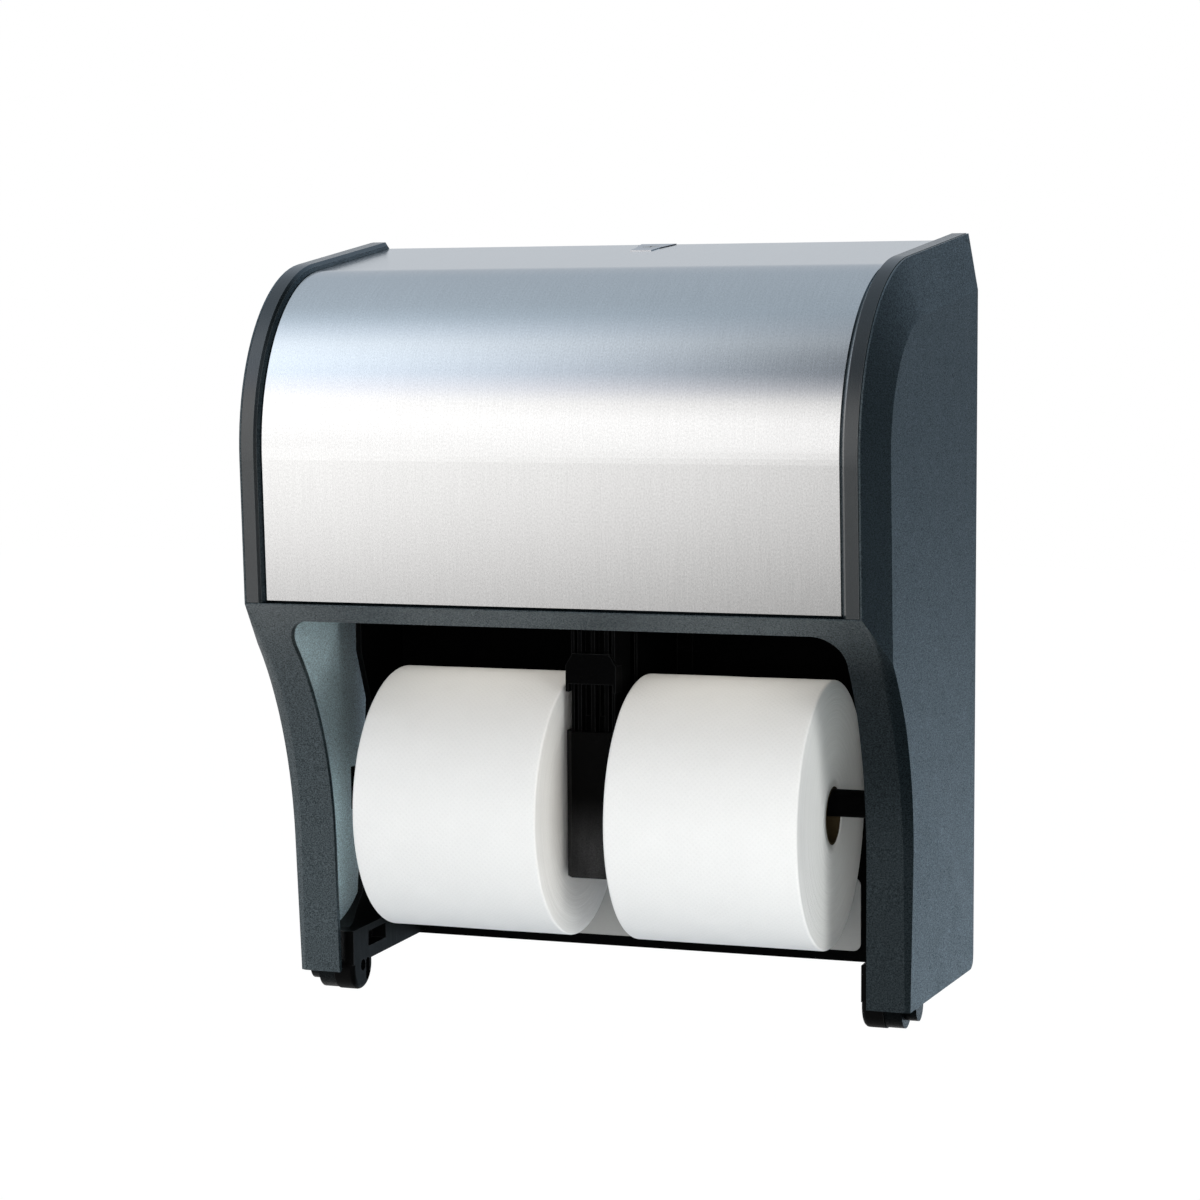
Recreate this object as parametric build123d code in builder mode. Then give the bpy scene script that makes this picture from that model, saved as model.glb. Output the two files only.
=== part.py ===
"""Wall-mounted toilet paper dispenser for four small-core rolls, two in use and two in reserve.

Millimetres. X runs to the right, Y into the wall and Z up. The wall is the plane Y = 0, the dispenser
is symmetric about X = 0, and Z = 0 is the lower edge of the cover's arms.
"""
import os
from math import cos, hypot, radians, sin, sqrt, tan

from build123d import *

# Paper rolls and their cardboard cores
roll_radius = 66.8
roll_width = 98.0
roll_edge_radius = 1.2
core_bore_radius = 13.4
core_wall = 1.0
roll_inner_face = 16.6
roll_y = -80.9
lower_roll_z = 89.2
reserve_roll_drop = 113.2

# Roll rods and the carriages that hold them
rod_radius = 6.8
rod_hang_clearance = 0.1
rod_past_ear = 1.0
rod_end_chamfer = 1.0
spigot_radius = 4.0
spigot_end_x = 8.4
spigot_clearance = 0.05
carriage_half_height = 11.0
carriage_half_depth = 9.0
carriage_inner_x = 7.5
carriage_outer_x = 15.1
track_clearance = 0.15
neck_half_depth = 5.8
neck_clearance = 0.2
rest_clearance = 0.05
reserve_lift = 12.0
lift_clearance = 2.0

# Cover outline, seen from the side
cover_height = 375.2
top_slope = 7.4
nose_radius = 91.5
cover_depth = 182.4
kink_z = 196.0
front_lean = 3.0
arm_foot_y = -110.0
arm_lean = 2.5
arm_straight = 70.0
cover_wall_gap = 1.0
back_corner_radius = 5.0

# Cover half widths at the wall, and how much each narrows per millimetre towards the front
side_half = 168.4
side_draft = 0.047
rim_step = 5.0
rim_draft = 0.0533
bevel_width = 28.0
arm_edge_chamfer = 2.4
cover_wall = 3.0
skin_wall = 2.4
lower_side_wall_step = 0.2
lower_side_front_step = 8.4
lower_side_top_step = 6.2
lower_side_top_z = 150.0
lower_side_top_y = -134.0

# Stainless panel and the strips on the rim beside it
seam_lip = 0.5
panel_sheet = 0.9
panel_set_back = 3.2
recess_step = 10.74
recess_draft = 0.048
recess_bevel = 2.3
panel_gap = 0.9
panel_bottom_gap = 0.7
panel_wall_gap = 1.3
strip_border = 0.9
strip_depth = 1.5
strip_proud = 0.2
strip_gap = 0.3
clip_size = 12.0
clip_height = 2.0
clip_stud_radius = 1.5
clip_stud_clearance = 0.1
clip_pitch_x = 80.0
clip_pitch_y = 40.0
clip_columns = (-1.5, -0.5, 0.5, 1.5)
clip_rows = (-0.5, 0.5)
clip_middle_y = -62.0

# Opening between the arms
opening_top_z = 187.0
opening_bottom_step = 29.9
opening_top_step = 28.0
opening_corner_radius = 14.0
opening_depth_y = -60.0

# Cover hinge
hinge_y = -90.0
hinge_z = 0.0
hinge_pin_radius = 3.0
hinge_running_clearance = 0.06
hinge_sweep_clearance = 0.6
knuckle_radius = 12.5
knuckle_edge_radius = 2.5
knuckle_pocket_depth = 3.0
knuckle_pocket_y = -84.0
knuckle_pocket_z = -3.0
knuckle_pocket_width = 5.0
knuckle_pocket_height = 12.0
cover_knuckle_radius = 12.0
cover_knuckle_end_step = 14.4
cover_knuckle_height = 14.0
knuckle_side_gap = 0.3
bulge_radius = 8.0
bulge_end_step = 8.0
pin_end_step = 11.4

# Back plate
plate_thickness = 5.0
plate_side_step = 9.9
plate_bottom_z = 0.0
plate_top_drop = 27.2
plate_corner_radius = 8.0
wall_hole_radius = 2.75
wall_hole_x = 105.0
wall_hole_low_z = 70.0
wall_hole_drop = 65.2
wall_boss_radius = 8.0
wall_boss_height = 2.0
lock_notch_half = 17.0
lock_notch_drop = 53.2

# Blank plate on the lower back plate
blank_width = 220.0
blank_height = 38.5
blank_thickness = 0.8
blank_corner_radius = 4.0
blank_centre_z = 25.0

# Side wings
wing_side_step = 23.4
wing_sheet = 3.0
wing_top_drop = 40.2
wing_front_y = -62.6
wing_waist_y = -50.5
wing_waist_z = 134.0
wing_step_z = 161.0
wing_flare_z = 33.0
wing_flare_y = -64.5
flare_middle_y = -71.5
flare_middle_z = 28.2
flare_end_y = -97.0
flare_end_z = 21.0
wing_flange_width = 9.0
wing_flange_bottom_z = 10.0
foot_width = 11.0
foot_front_y = -102.0
foot_bottom_z = 2.0
foot_top_z = 20.0
foot_window_depth = 8.0
foot_window_front_y = -83.0
foot_window_back_y = -60.0
foot_window_low_z = 8.5
foot_window_high_z = 16.5
ear_reach = 10.5
ear_thickness = 4.0
ear_front_y = -92.5
ear_back_y = -45.0
ear_web_front_y = -58.0
ear_low_z = 82.0
ear_high_z = 104.0
ear_clearance = 0.1

# Centre post between the rolls
post_wall_inner_x = 9.8
post_wall_outer_x = 11.3
post_front_y = -110.0
post_face_y = -104.0
post_face_thickness = 2.0
post_bottom_z = 59.0
post_top_drop = 75.2
post_rib_pitch = 7.0
post_rib_width = 2.0
post_web_half = 1.0
post_web_front_y = -84.0
post_flange_half = 20.0
post_flange_thickness = 3.0
post_shelf_height = 3.0
pin_plate_half = 7.0
pin_plate_thickness = 2.5
pin_plate_reach = 6.0

# Box that closes the post's lower front
box_half = 14.6
box_front_half = 10.7
box_front_y = -112.6
box_chamfer_y = -107.5
box_back_y = -96.0
box_bottom_z = 57.0
box_top_z = 130.0
box_fit = 0.1

# Release slider, its spring and the pawls
slider_travel = 19.5
slider_front_y = -114.0
slider_back_y = -110.6
slider_top_z = 169.0
slider_shoulder_z = 163.0
slider_bottom_z = 154.0
slider_leg_bottom_z = 150.0
slider_top_half = 9.5
slider_half = 13.0
slider_leg_back_y = -104.5
neck_inner_x = 2.2
neck_outer_x = 5.3
slot_clearance = 0.3
neck_low_z = 157.0
neck_high_z = 166.0
stem_half = 6.5
stem_front_y = -101.6
stem_back_y = -99.4
stem_bottom_z = 116.0
spring_seat_thickness = 2.5
spring_y = -94.0
spring_radius = 4.5
spring_wire = 1.0
spring_seat_half = 5.0
spring_end_clearance = 0.1
pawl_pivot_x = 4.2
pawl_reach = 20.2
pawl_turn = 12.0
pawl_tip_inner = 2.3
pawl_tip_outer = 5.1
pawl_arm_half = 2.4
pawl_front_y = -92.2
pawl_back_y = -84.3
pawl_hub_radius = 3.2
pawl_pin_radius = 1.5
pawl_pin_clearance = 0.06
pawl_pin_proud = 0.5
pawl_tail_half = 1.9
peg_radius = 1.5
peg_drop = 18.0
peg_x = 3.3
peg_front_y = -98.8
wedge_clearance = 0.2
wedge_back_y = -93.0
wedge_below = 5.0
wedge_above = 24.0

# Lock at the middle of the cover's top edge
lock_y = -16.0
tongue_front = 17.0
tongue_front_half = 5.7
tongue_waist = 5.0
tongue_waist_half = 6.4
tongue_back = 14.0
tongue_back_half = 9.6
tongue_thickness = 1.3
tongue_gap = 0.25
barrel_radius = 4.2
barrel_clearance = 0.08
key_slot_length = 4.0
key_slot_width = 1.2
key_slot_depth = 6.0
housing_radius = 7.0
housing_length = 19.0
cam_gap = 0.3
cam_half_width = 3.0
cam_eye_radius = 4.5
cam_length = 10.5
cam_thickness = 2.5
cam_fit = 0.05
cam_spigot_radius = 2.4
cam_screw_head_radius = 3.6
cam_screw_head_height = 1.6
cam_screw_shank_radius = 1.2
cam_screw_length = 7.0
strike_gap = 1.0
strike_sheet = 2.0
strike_inner_x = 8.0
strike_outer_x = 15.5
strike_rise = 4.0
strike_drop = 16.0
strike_foot_height = 25.5

# Screws and where they go
screw_head_radius = 3.0
screw_head_height = 1.8
screw_shank_radius = 1.5
screw_shank_length = 5.5
screw_fit = 0.05
screw_drive_width = 0.9
screw_drive_depth = 0.9
wing_screw_heights = (60.0, 180.0)
wing_screw_drop = 35.0
post_screw_x = 15.6
post_screw_heights = (75.0, 180.0)
post_screw_drop = 15.0
strike_screw_x = 9.0
strike_screw_rise = 7.0

# How far cuts run past what they cut
overshoot = 12.0
cut_proud = 1.0

# Sizes worked out from the ones above
slope = radians(top_slope)
lean = radians(front_lean)
foot_lean = radians(arm_lean)
kink_y = -cover_depth
rim_half = side_half - rim_step
recess_half = rim_half - recess_step
opening_half_bottom = side_half - opening_bottom_step
opening_half_top = side_half - opening_top_step
cover_knuckle_end_x = side_half - cover_knuckle_end_step
bulge_end_x = side_half - bulge_end_step
pin_end_x = side_half - pin_end_step
plate_half = side_half - plate_side_step
plate_top_z = cover_height - plate_top_drop
wall_hole_high_z = cover_height - wall_hole_drop
lock_notch_z = cover_height - lock_notch_drop
wing_inner_x = side_half - wing_side_step
wing_top_z = cover_height - wing_top_drop
foot_inner_x = wing_inner_x - foot_width
ear_inner_x = wing_inner_x - ear_reach
ear_outer_x = ear_inner_x + ear_thickness
rod_end_x = ear_outer_x + rod_past_ear
post_top_z = cover_height - post_top_drop
reserve_roll_z = cover_height - reserve_roll_drop
rod_z_offset = core_bore_radius - rod_radius - rod_hang_clearance
lower_rod_z = lower_roll_z + rod_z_offset
reserve_rod_z = reserve_roll_z + rod_z_offset
plate_front_y = -plate_thickness
cover_back_y = -cover_wall_gap
wing_outer_x = wing_inner_x + wing_sheet
wing_flange_end_x = wing_outer_x + wing_flange_width
wing_screw_x = wing_outer_x + wing_flange_width / 2
cove_radius = wing_inner_x - foot_inner_x
hinge_sweep_radius = hypot(cover_knuckle_radius, cover_knuckle_height) + hinge_sweep_clearance
post_flange_front_y = plate_front_y - post_flange_thickness
neck_slot_bottom_z = neck_low_z - slider_travel - slot_clearance
spring_bottom_z = post_bottom_z + post_shelf_height
pawl_pivot_z = reserve_rod_z - carriage_half_height - pawl_reach
peg_z = pawl_pivot_z - peg_drop
wedge_slope = peg_drop * sin(radians(pawl_turn)) / slider_travel
wedge_half_at_peg = peg_x - peg_radius - wedge_clearance
seam_z = kink_z + seam_lip
seat_inset = panel_set_back + panel_sheet
skin_inset = seat_inset + skin_wall
barrel_top = seat_inset - tongue_thickness
housing_end = skin_inset + housing_length
cam_top = housing_end + cam_gap
cam_bottom = cam_top + cam_thickness
cam_axis_y = lock_y + cam_top * sin(slope)
cam_z = cover_height + lock_y * tan(slope) - cam_top * cos(slope)
strike_back_y = cam_axis_y - cam_half_width - strike_gap
strike_front_y = strike_back_y - strike_sheet
strike_shelf_z = cam_z - strike_drop
strike_top_z = cam_z + strike_rise
strike_foot_z = strike_shelf_z - strike_foot_height
strike_screw_z = strike_foot_z + strike_screw_rise
lock_plane = Plane(
    origin=(0, lock_y, cover_height + lock_y * tan(slope)), x_dir=(1, 0, 0), z_dir=(0, -sin(slope), cos(slope))
)
wall_hole_places = [(x, z) for x in (-wall_hole_x, wall_hole_x) for z in (wall_hole_low_z, wall_hole_high_z)]
wing_screw_places = [(wing_screw_x, z) for z in (*wing_screw_heights, wing_top_z - wing_screw_drop)]
post_screw_places = [
    (x, z)
    for x in (-post_screw_x, post_screw_x)
    for z in (*post_screw_heights, post_top_z - post_screw_drop)
]
strike_screw_places = [(x, strike_screw_z) for x in (-strike_screw_x, strike_screw_x)]
clip_places = [
    (column * clip_pitch_x, clip_middle_y - lock_y + row * clip_pitch_y)
    for column in clip_columns
    for row in clip_rows
]


def save(part, name):
    """Label a finished piece and write it to its own file."""
    part.label = name
    export_step(part, f"parts/{name}.step")


def save_pair(part, name):
    """Write a right-hand piece, and its mirror image for the left."""
    save(part, f"{name}_right")
    with BuildPart() as left:
        mirror(part, about=Plane.YZ)
    save(left.part, f"{name}_left")


def block(across, depth, height, mode=Mode.ADD):
    """A box between two values of X, two of Y and two of Z."""
    centre = (sum(across) / 2, sum(depth) / 2, sum(height) / 2)
    with Locations(centre):
        Box(across[1] - across[0], depth[1] - depth[0], height[1] - height[0], mode=mode)


def outline(skin, arm, back_y, bottom_z):
    """Side outline of the cover, set in by skin at the top and front and by arm along the arms.

    Returns the corner points and the middle points of the two arcs, as (y, z) pairs.
    """
    top_in = Vector(sin(slope), -cos(slope))
    front_in = Vector(cos(lean), sin(lean))
    arm_out = Vector(-cos(foot_lean), -sin(foot_lean))
    kink = Vector(kink_y, kink_z)
    # Centre of the nose arc: nose_radius inside both the top line and the front line
    top_side = nose_radius - cover_height * cos(slope)
    front_side = nose_radius + kink.X * cos(lean) + kink.Y * sin(lean)
    turn = sin(slope) * sin(lean) + cos(slope) * cos(lean)
    centre = Vector(
        (top_side * sin(lean) + front_side * cos(slope)) / turn,
        (front_side * sin(slope) - top_side * cos(lean)) / turn,
    )
    nose = nose_radius - skin
    nose_top = centre - top_in * nose
    nose_front = centre - front_in * nose
    nose_middle = centre - (top_in + front_in).normalized() * nose
    back_top = Vector(back_y, cover_height + tan(slope) * back_y - skin / cos(slope))
    # The arm's hollow arc leaves its straight foot smoothly and ends at the kink
    arc_start = Vector(arm_foot_y - arm_straight * tan(foot_lean), arm_straight)
    chord = kink - arc_start
    arm_radius = chord.length**2 / (2 * chord.dot(arm_out))
    arm_centre = arc_start + arm_out * arm_radius
    reach = arm_radius + arm
    arm_low = arm_centre - arm_out * reach
    rise = Vector(-sin(foot_lean), cos(foot_lean))
    arm_foot = arm_low - rise * ((arm_low.Y - bottom_z) / cos(foot_lean))
    # Where the front line meets the arm's arc
    along = Vector(-sin(lean), cos(lean))
    start = kink + front_in * skin - arm_centre
    half_b = start.dot(along)
    shift = -half_b + sqrt(half_b**2 - start.dot(start) + reach**2)
    corner = arm_centre + start + along * shift
    to_corner = (corner - arm_centre).normalized()
    to_low = (arm_low - arm_centre).normalized()
    arm_middle = arm_centre + (to_corner + to_low).normalized() * reach
    return [
        (p.X, p.Y)
        for p in (back_top, nose_top, nose_middle, nose_front, corner, arm_middle, arm_low, arm_foot)
    ]


def side_profile(skin, arm, back_y=cover_back_y, bottom_z=0.0):
    """The cover's outline as a closed face, flat, with Y and Z as its two directions."""
    back_top, nose_top, nose_middle, nose_front, corner, arm_middle, arm_low, arm_foot = outline(
        skin, arm, back_y, bottom_z
    )
    back_foot = (back_y, bottom_z)
    with BuildSketch() as sketch:
        with BuildLine():
            Line(back_foot, back_top)
            Line(back_top, nose_top)
            ThreePointArc(nose_top, nose_middle, nose_front)
            Line(nose_front, corner)
            ThreePointArc(corner, arm_middle, arm_low)
            Line(arm_low, arm_foot)
            Line(arm_foot, back_foot)
        make_face()
    return sketch.sketch


def draft_plane(half, draft):
    """Upright plane at half from the middle, nearer to it by draft for each millimetre forward."""
    return Plane(origin=(half, 0, 0), z_dir=(1, -draft, 0))


def drafted_slab(profile, half, draft):
    """The profile stood on the middle plane and extruded to the right as far as a draft plane."""
    with BuildPart() as slab:
        with BuildSketch(Plane.YZ):
            add(profile)
        extrude(amount=side_half + overshoot)
        split(bisect_by=draft_plane(half, draft), keep=Keep.BOTTOM)
    return slab.part


def end_face(slab):
    """The slab's slanted end, its face furthest to the right."""
    return slab.faces().sort_by(Axis.X)[-1]


def lower_side_plane(inset):
    """Plane that draws the side in towards the arm's foot."""
    half = side_half - inset
    at_wall = Vector(half - lower_side_wall_step, 0, 0)
    at_foot = Vector(half - lower_side_front_step, arm_foot_y, 0)
    at_top = Vector(half - lower_side_top_step, lower_side_top_y, lower_side_top_z)
    outward = (at_foot - at_wall).cross(at_top - at_wall)
    if outward.X < 0:
        outward = outward * -1
    return Plane(origin=at_wall, z_dir=outward)


def cover_body(skin, thickness, back_y=cover_back_y, bottom_z=0.0):
    """Both halves of the cover's closed form, its rim bevelled out to the side faces."""
    rim = drafted_slab(side_profile(skin, skin, back_y, bottom_z), rim_half - thickness, rim_draft)
    side_outline = side_profile(bevel_width, skin + arm_edge_chamfer, back_y, bottom_z)
    side = drafted_slab(side_outline, side_half - thickness, side_draft)
    with BuildPart() as half:
        add(rim)
        loft(sections=[end_face(rim), end_face(side)], ruled=True)
        split(bisect_by=lower_side_plane(thickness), keep=Keep.BOTTOM)
    return both_sides(half.part)


def rim_band(outer, inner, low_z, back_y):
    """Strip between two insets of the outline, above low_z and in front of back_y."""
    band_top = cover_height + overshoot
    front = kink_y - 2 * overshoot
    with BuildSketch() as sketch:
        add(side_profile(outer, outer, overshoot))
        add(side_profile(inner, inner, overshoot), mode=Mode.SUBTRACT)
        with Locations(((front + back_y) / 2, (low_z + band_top) / 2)):
            Rectangle(back_y - front, band_top - low_z, mode=Mode.INTERSECT)
    return sketch.sketch


def rim_bevel():
    """Cut on the right that slopes the rim's inner edge down to the panel."""
    low_profile = side_profile(panel_set_back, panel_set_back, overshoot)
    high_profile = side_profile(-strip_proud, -strip_proud, overshoot)
    low = end_face(drafted_slab(low_profile, recess_half, recess_draft))
    high = end_face(drafted_slab(high_profile, recess_half + recess_bevel, recess_draft))
    band = rim_band(-cut_proud, panel_set_back, seam_z, overshoot)
    with BuildPart() as cut:
        add(drafted_slab(band, recess_half + recess_bevel, recess_draft))
        split(bisect_by=draft_plane(recess_half, recess_draft), keep=Keep.TOP)
        loft(sections=[low, high], ruled=True, mode=Mode.SUBTRACT)
    return cut.part


def both_sides(part):
    """A right-hand piece joined with its mirror image."""
    with BuildPart() as pair:
        add(part)
        mirror(about=Plane.YZ)
    return pair.part


def screws(seat, places):
    """Pan-head screws with a straight slot, their heads on the seat plane."""
    with BuildPart() as group:
        with BuildSketch(seat):
            with Locations(*places):
                Circle(screw_head_radius)
        extrude(amount=screw_head_height)
        with BuildSketch(seat):
            with Locations(*places):
                Circle(screw_shank_radius)
        extrude(amount=-screw_shank_length)
        with BuildSketch(seat.offset(screw_head_height)):
            with Locations(*places):
                Rectangle(2 * screw_head_radius, screw_drive_width)
        extrude(amount=-screw_drive_depth, mode=Mode.SUBTRACT)
    return group.part


def screw_holes(seat, places):
    """Holes for the shanks of screws seated on the plane, cut in the part being built."""
    with BuildSketch(seat) as holes:
        with Locations(*places):
            Circle(screw_shank_radius + screw_fit)
    extrude(holes.sketch, amount=-screw_shank_length - screw_fit, mode=Mode.SUBTRACT)


os.makedirs("parts", exist_ok=True)

wing_seat = Plane.XZ.offset(plate_thickness + wing_sheet)
post_seat = Plane.XZ.offset(plate_thickness + post_flange_thickness)
strike_seat = Plane.XZ.offset(plate_thickness + strike_sheet)
wing_screw_pairs = wing_screw_places + [(-x, z) for x, z in wing_screw_places]

# Back plate, with bosses round the four wall holes and a notch under the lock
with BuildPart() as back_plate:
    with BuildSketch(Plane.XZ):
        with Locations((0, (plate_bottom_z + plate_top_z) / 2)):
            RectangleRounded(2 * plate_half, plate_top_z - plate_bottom_z, plate_corner_radius)
    extrude(amount=plate_thickness)
    with BuildSketch(Plane.XZ.offset(plate_thickness)):
        with Locations(*wall_hole_places):
            Circle(wall_boss_radius)
    extrude(amount=wall_boss_height)
    with BuildSketch(Plane.XZ):
        with Locations(*wall_hole_places):
            Circle(wall_hole_radius)
    extrude(amount=plate_thickness + wall_boss_height, mode=Mode.SUBTRACT)
    block(
        (-lock_notch_half, lock_notch_half),
        (plate_front_y, 0),
        (lock_notch_z, plate_top_z),
        mode=Mode.SUBTRACT,
    )
    screw_holes(wing_seat, wing_screw_pairs)
    screw_holes(post_seat, post_screw_places)
    screw_holes(strike_seat, strike_screw_places)
save(back_plate.part, "back_plate")

# Blank plate below the rolls
with BuildPart() as blank_plate:
    with BuildSketch(Plane.XZ.offset(plate_thickness)):
        with Locations((0, blank_centre_z)):
            RectangleRounded(blank_width, blank_height, blank_corner_radius)
    extrude(amount=blank_thickness)
save(blank_plate.part, "blank_plate")

# Side wing: an upright plate with a foot that carries the hinge and an ear that carries the rod
with BuildPart() as wing:
    with BuildSketch(Plane.YZ.offset(foot_inner_x)):
        with BuildLine():
            Polyline(
                (flare_end_y, flare_end_z),
                (foot_front_y, foot_top_z),
                (foot_front_y, foot_bottom_z),
                (plate_front_y, foot_bottom_z),
                (plate_front_y, wing_top_z),
                (wing_front_y, wing_top_z),
                (wing_front_y, wing_step_z),
                (wing_waist_y, wing_waist_z),
                (wing_flare_y, wing_flare_z),
            )
            ThreePointArc(
                (wing_flare_y, wing_flare_z), (flare_middle_y, flare_middle_z), (flare_end_y, flare_end_z)
            )
        make_face()
    extrude(amount=wing_outer_x - foot_inner_x)
    # The plate, and the foot with the cove between them, seen from the front
    with BuildSketch(Plane.XZ):
        with BuildLine():
            Polyline(
                (foot_inner_x, foot_top_z),
                (foot_inner_x, foot_bottom_z),
                (wing_outer_x, foot_bottom_z),
                (wing_outer_x, wing_top_z),
                (wing_inner_x, wing_top_z),
                (wing_inner_x, foot_top_z + cove_radius),
            )
            RadiusArc((wing_inner_x, foot_top_z + cove_radius), (foot_inner_x, foot_top_z), cove_radius)
        make_face()
    extrude(amount=overshoot - foot_front_y, mode=Mode.INTERSECT)
    # Hinge knuckle, and room outside it for the cover's knuckle
    with BuildPart() as knuckle:
        with BuildSketch(Plane.YZ.offset(foot_inner_x)):
            with Locations((hinge_y, hinge_z)):
                Circle(knuckle_radius)
        extrude(amount=wing_inner_x - foot_inner_x)
        fillet(knuckle.faces().sort_by(Axis.X)[0].edges(), knuckle_edge_radius)
    add(knuckle.part)
    with BuildSketch(Plane.YZ.offset(wing_inner_x)):
        with Locations((hinge_y, hinge_z)):
            Circle(hinge_sweep_radius)
    extrude(amount=wing_sheet, mode=Mode.SUBTRACT)
    with BuildSketch(Plane.YZ.offset(foot_inner_x)):
        with Locations((knuckle_pocket_y, knuckle_pocket_z)):
            SlotOverall(knuckle_pocket_height, knuckle_pocket_width, rotation=90)
        with Locations((hinge_y, hinge_z)):
            Circle(hinge_pin_radius + hinge_running_clearance)
    extrude(amount=knuckle_pocket_depth, mode=Mode.SUBTRACT)
    with BuildSketch(Plane.YZ.offset(foot_inner_x)):
        with Locations((hinge_y, hinge_z)):
            Circle(hinge_pin_radius + hinge_running_clearance)
    extrude(amount=wing_inner_x - foot_inner_x, mode=Mode.SUBTRACT)
    block(
        (foot_inner_x, foot_inner_x + foot_window_depth),
        (foot_window_front_y, foot_window_back_y),
        (foot_window_low_z, foot_window_high_z),
        mode=Mode.SUBTRACT,
    )
    # Ear with a notch, open at the top, that the rod drops into
    block((ear_inner_x, ear_outer_x), (ear_front_y, ear_back_y), (ear_low_z, ear_high_z))
    block((ear_outer_x, wing_inner_x), (ear_web_front_y, ear_back_y), (ear_low_z, ear_high_z))
    with BuildSketch(Plane.YZ.offset(ear_inner_x)):
        with Locations((roll_y, lower_rod_z)):
            Circle(rod_radius + ear_clearance)
        with Locations((roll_y, (lower_rod_z + ear_high_z) / 2)):
            Rectangle(2 * (rod_radius + ear_clearance), ear_high_z - lower_rod_z)
    extrude(amount=ear_outer_x - ear_inner_x, mode=Mode.SUBTRACT)
    # Flange against the back plate
    block(
        (wing_outer_x, wing_flange_end_x),
        (plate_front_y - wing_sheet, plate_front_y),
        (wing_flange_bottom_z, wing_top_z),
    )
    screw_holes(wing_seat, wing_screw_places)
save_pair(wing.part, "wing")

with BuildPart() as wing_screws:
    add(screws(wing_seat, wing_screw_pairs))
save(wing_screws.part, "wing_screws")

# Centre post: an open channel with slots for the carriages and for the slider's necks
with BuildPart() as centre_post:
    height = (post_bottom_z, post_top_z)
    block((-post_wall_outer_x, post_wall_outer_x), (post_front_y, plate_front_y), height)
    block((-post_wall_inner_x, post_wall_inner_x), (post_front_y, plate_front_y), height, mode=Mode.SUBTRACT)
    block((-post_wall_inner_x, post_wall_inner_x), (post_face_y, post_face_y + post_face_thickness), height)
    for rib_x in (-post_rib_pitch, 0, post_rib_pitch):
        block((rib_x - post_rib_width / 2, rib_x + post_rib_width / 2), (post_front_y, post_face_y), height)
    block((-post_web_half, post_web_half), (post_web_front_y, plate_front_y), height)
    block((-post_flange_half, post_flange_half), (post_flange_front_y, plate_front_y), height)
    block(
        (-post_wall_inner_x, post_wall_inner_x),
        (post_face_y, plate_front_y),
        (post_bottom_z, spring_bottom_z),
    )
    block(
        (-pin_plate_half, pin_plate_half),
        (post_web_front_y, post_web_front_y + pin_plate_thickness),
        (pawl_pivot_z - pin_plate_reach, pawl_pivot_z + pin_plate_reach),
    )
    slot_half = neck_half_depth + neck_clearance
    for side in (-1, 1):
        inner = side * (post_wall_inner_x - track_clearance)
        outer = side * (post_wall_outer_x + track_clearance)
        block(
            (min(inner, outer), max(inner, outer)),
            (roll_y - slot_half, roll_y + slot_half),
            (
                lower_rod_z - carriage_half_height - rest_clearance,
                reserve_rod_z + carriage_half_height + reserve_lift + lift_clearance,
            ),
            mode=Mode.SUBTRACT,
        )
        near = side * (neck_inner_x - slot_clearance)
        far = side * (neck_outer_x + slot_clearance)
        block(
            (min(near, far), max(near, far)),
            (post_face_y, post_face_y + post_face_thickness),
            (neck_slot_bottom_z, neck_high_z + slot_clearance),
            mode=Mode.SUBTRACT,
        )
    with BuildSketch(Plane.XZ.offset(-post_web_front_y)):
        with Locations((-pawl_pivot_x, pawl_pivot_z), (pawl_pivot_x, pawl_pivot_z)):
            Circle(pawl_pin_radius + pawl_pin_clearance)
    extrude(amount=-pin_plate_thickness, mode=Mode.SUBTRACT)
    screw_holes(post_seat, post_screw_places)
save(centre_post.part, "centre_post")

with BuildPart() as post_screws:
    add(screws(post_seat, post_screw_places))
save(post_screws.part, "post_screws")

# Box round the post's lower end
with BuildPart() as post_cover:
    with BuildSketch(Plane.XY.offset(box_bottom_z)):
        with BuildLine():
            Polyline(
                (-box_half, box_back_y),
                (-box_half, box_chamfer_y),
                (-box_front_half, box_front_y),
                (box_front_half, box_front_y),
                (box_half, box_chamfer_y),
                (box_half, box_back_y),
                close=True,
            )
        make_face()
    extrude(amount=box_top_z - box_bottom_z)
    block(
        (-post_wall_outer_x - box_fit, post_wall_outer_x + box_fit),
        (post_front_y - box_fit, box_back_y),
        (post_bottom_z - box_fit, box_top_z),
        mode=Mode.SUBTRACT,
    )
save(post_cover.part, "post_cover")

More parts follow.
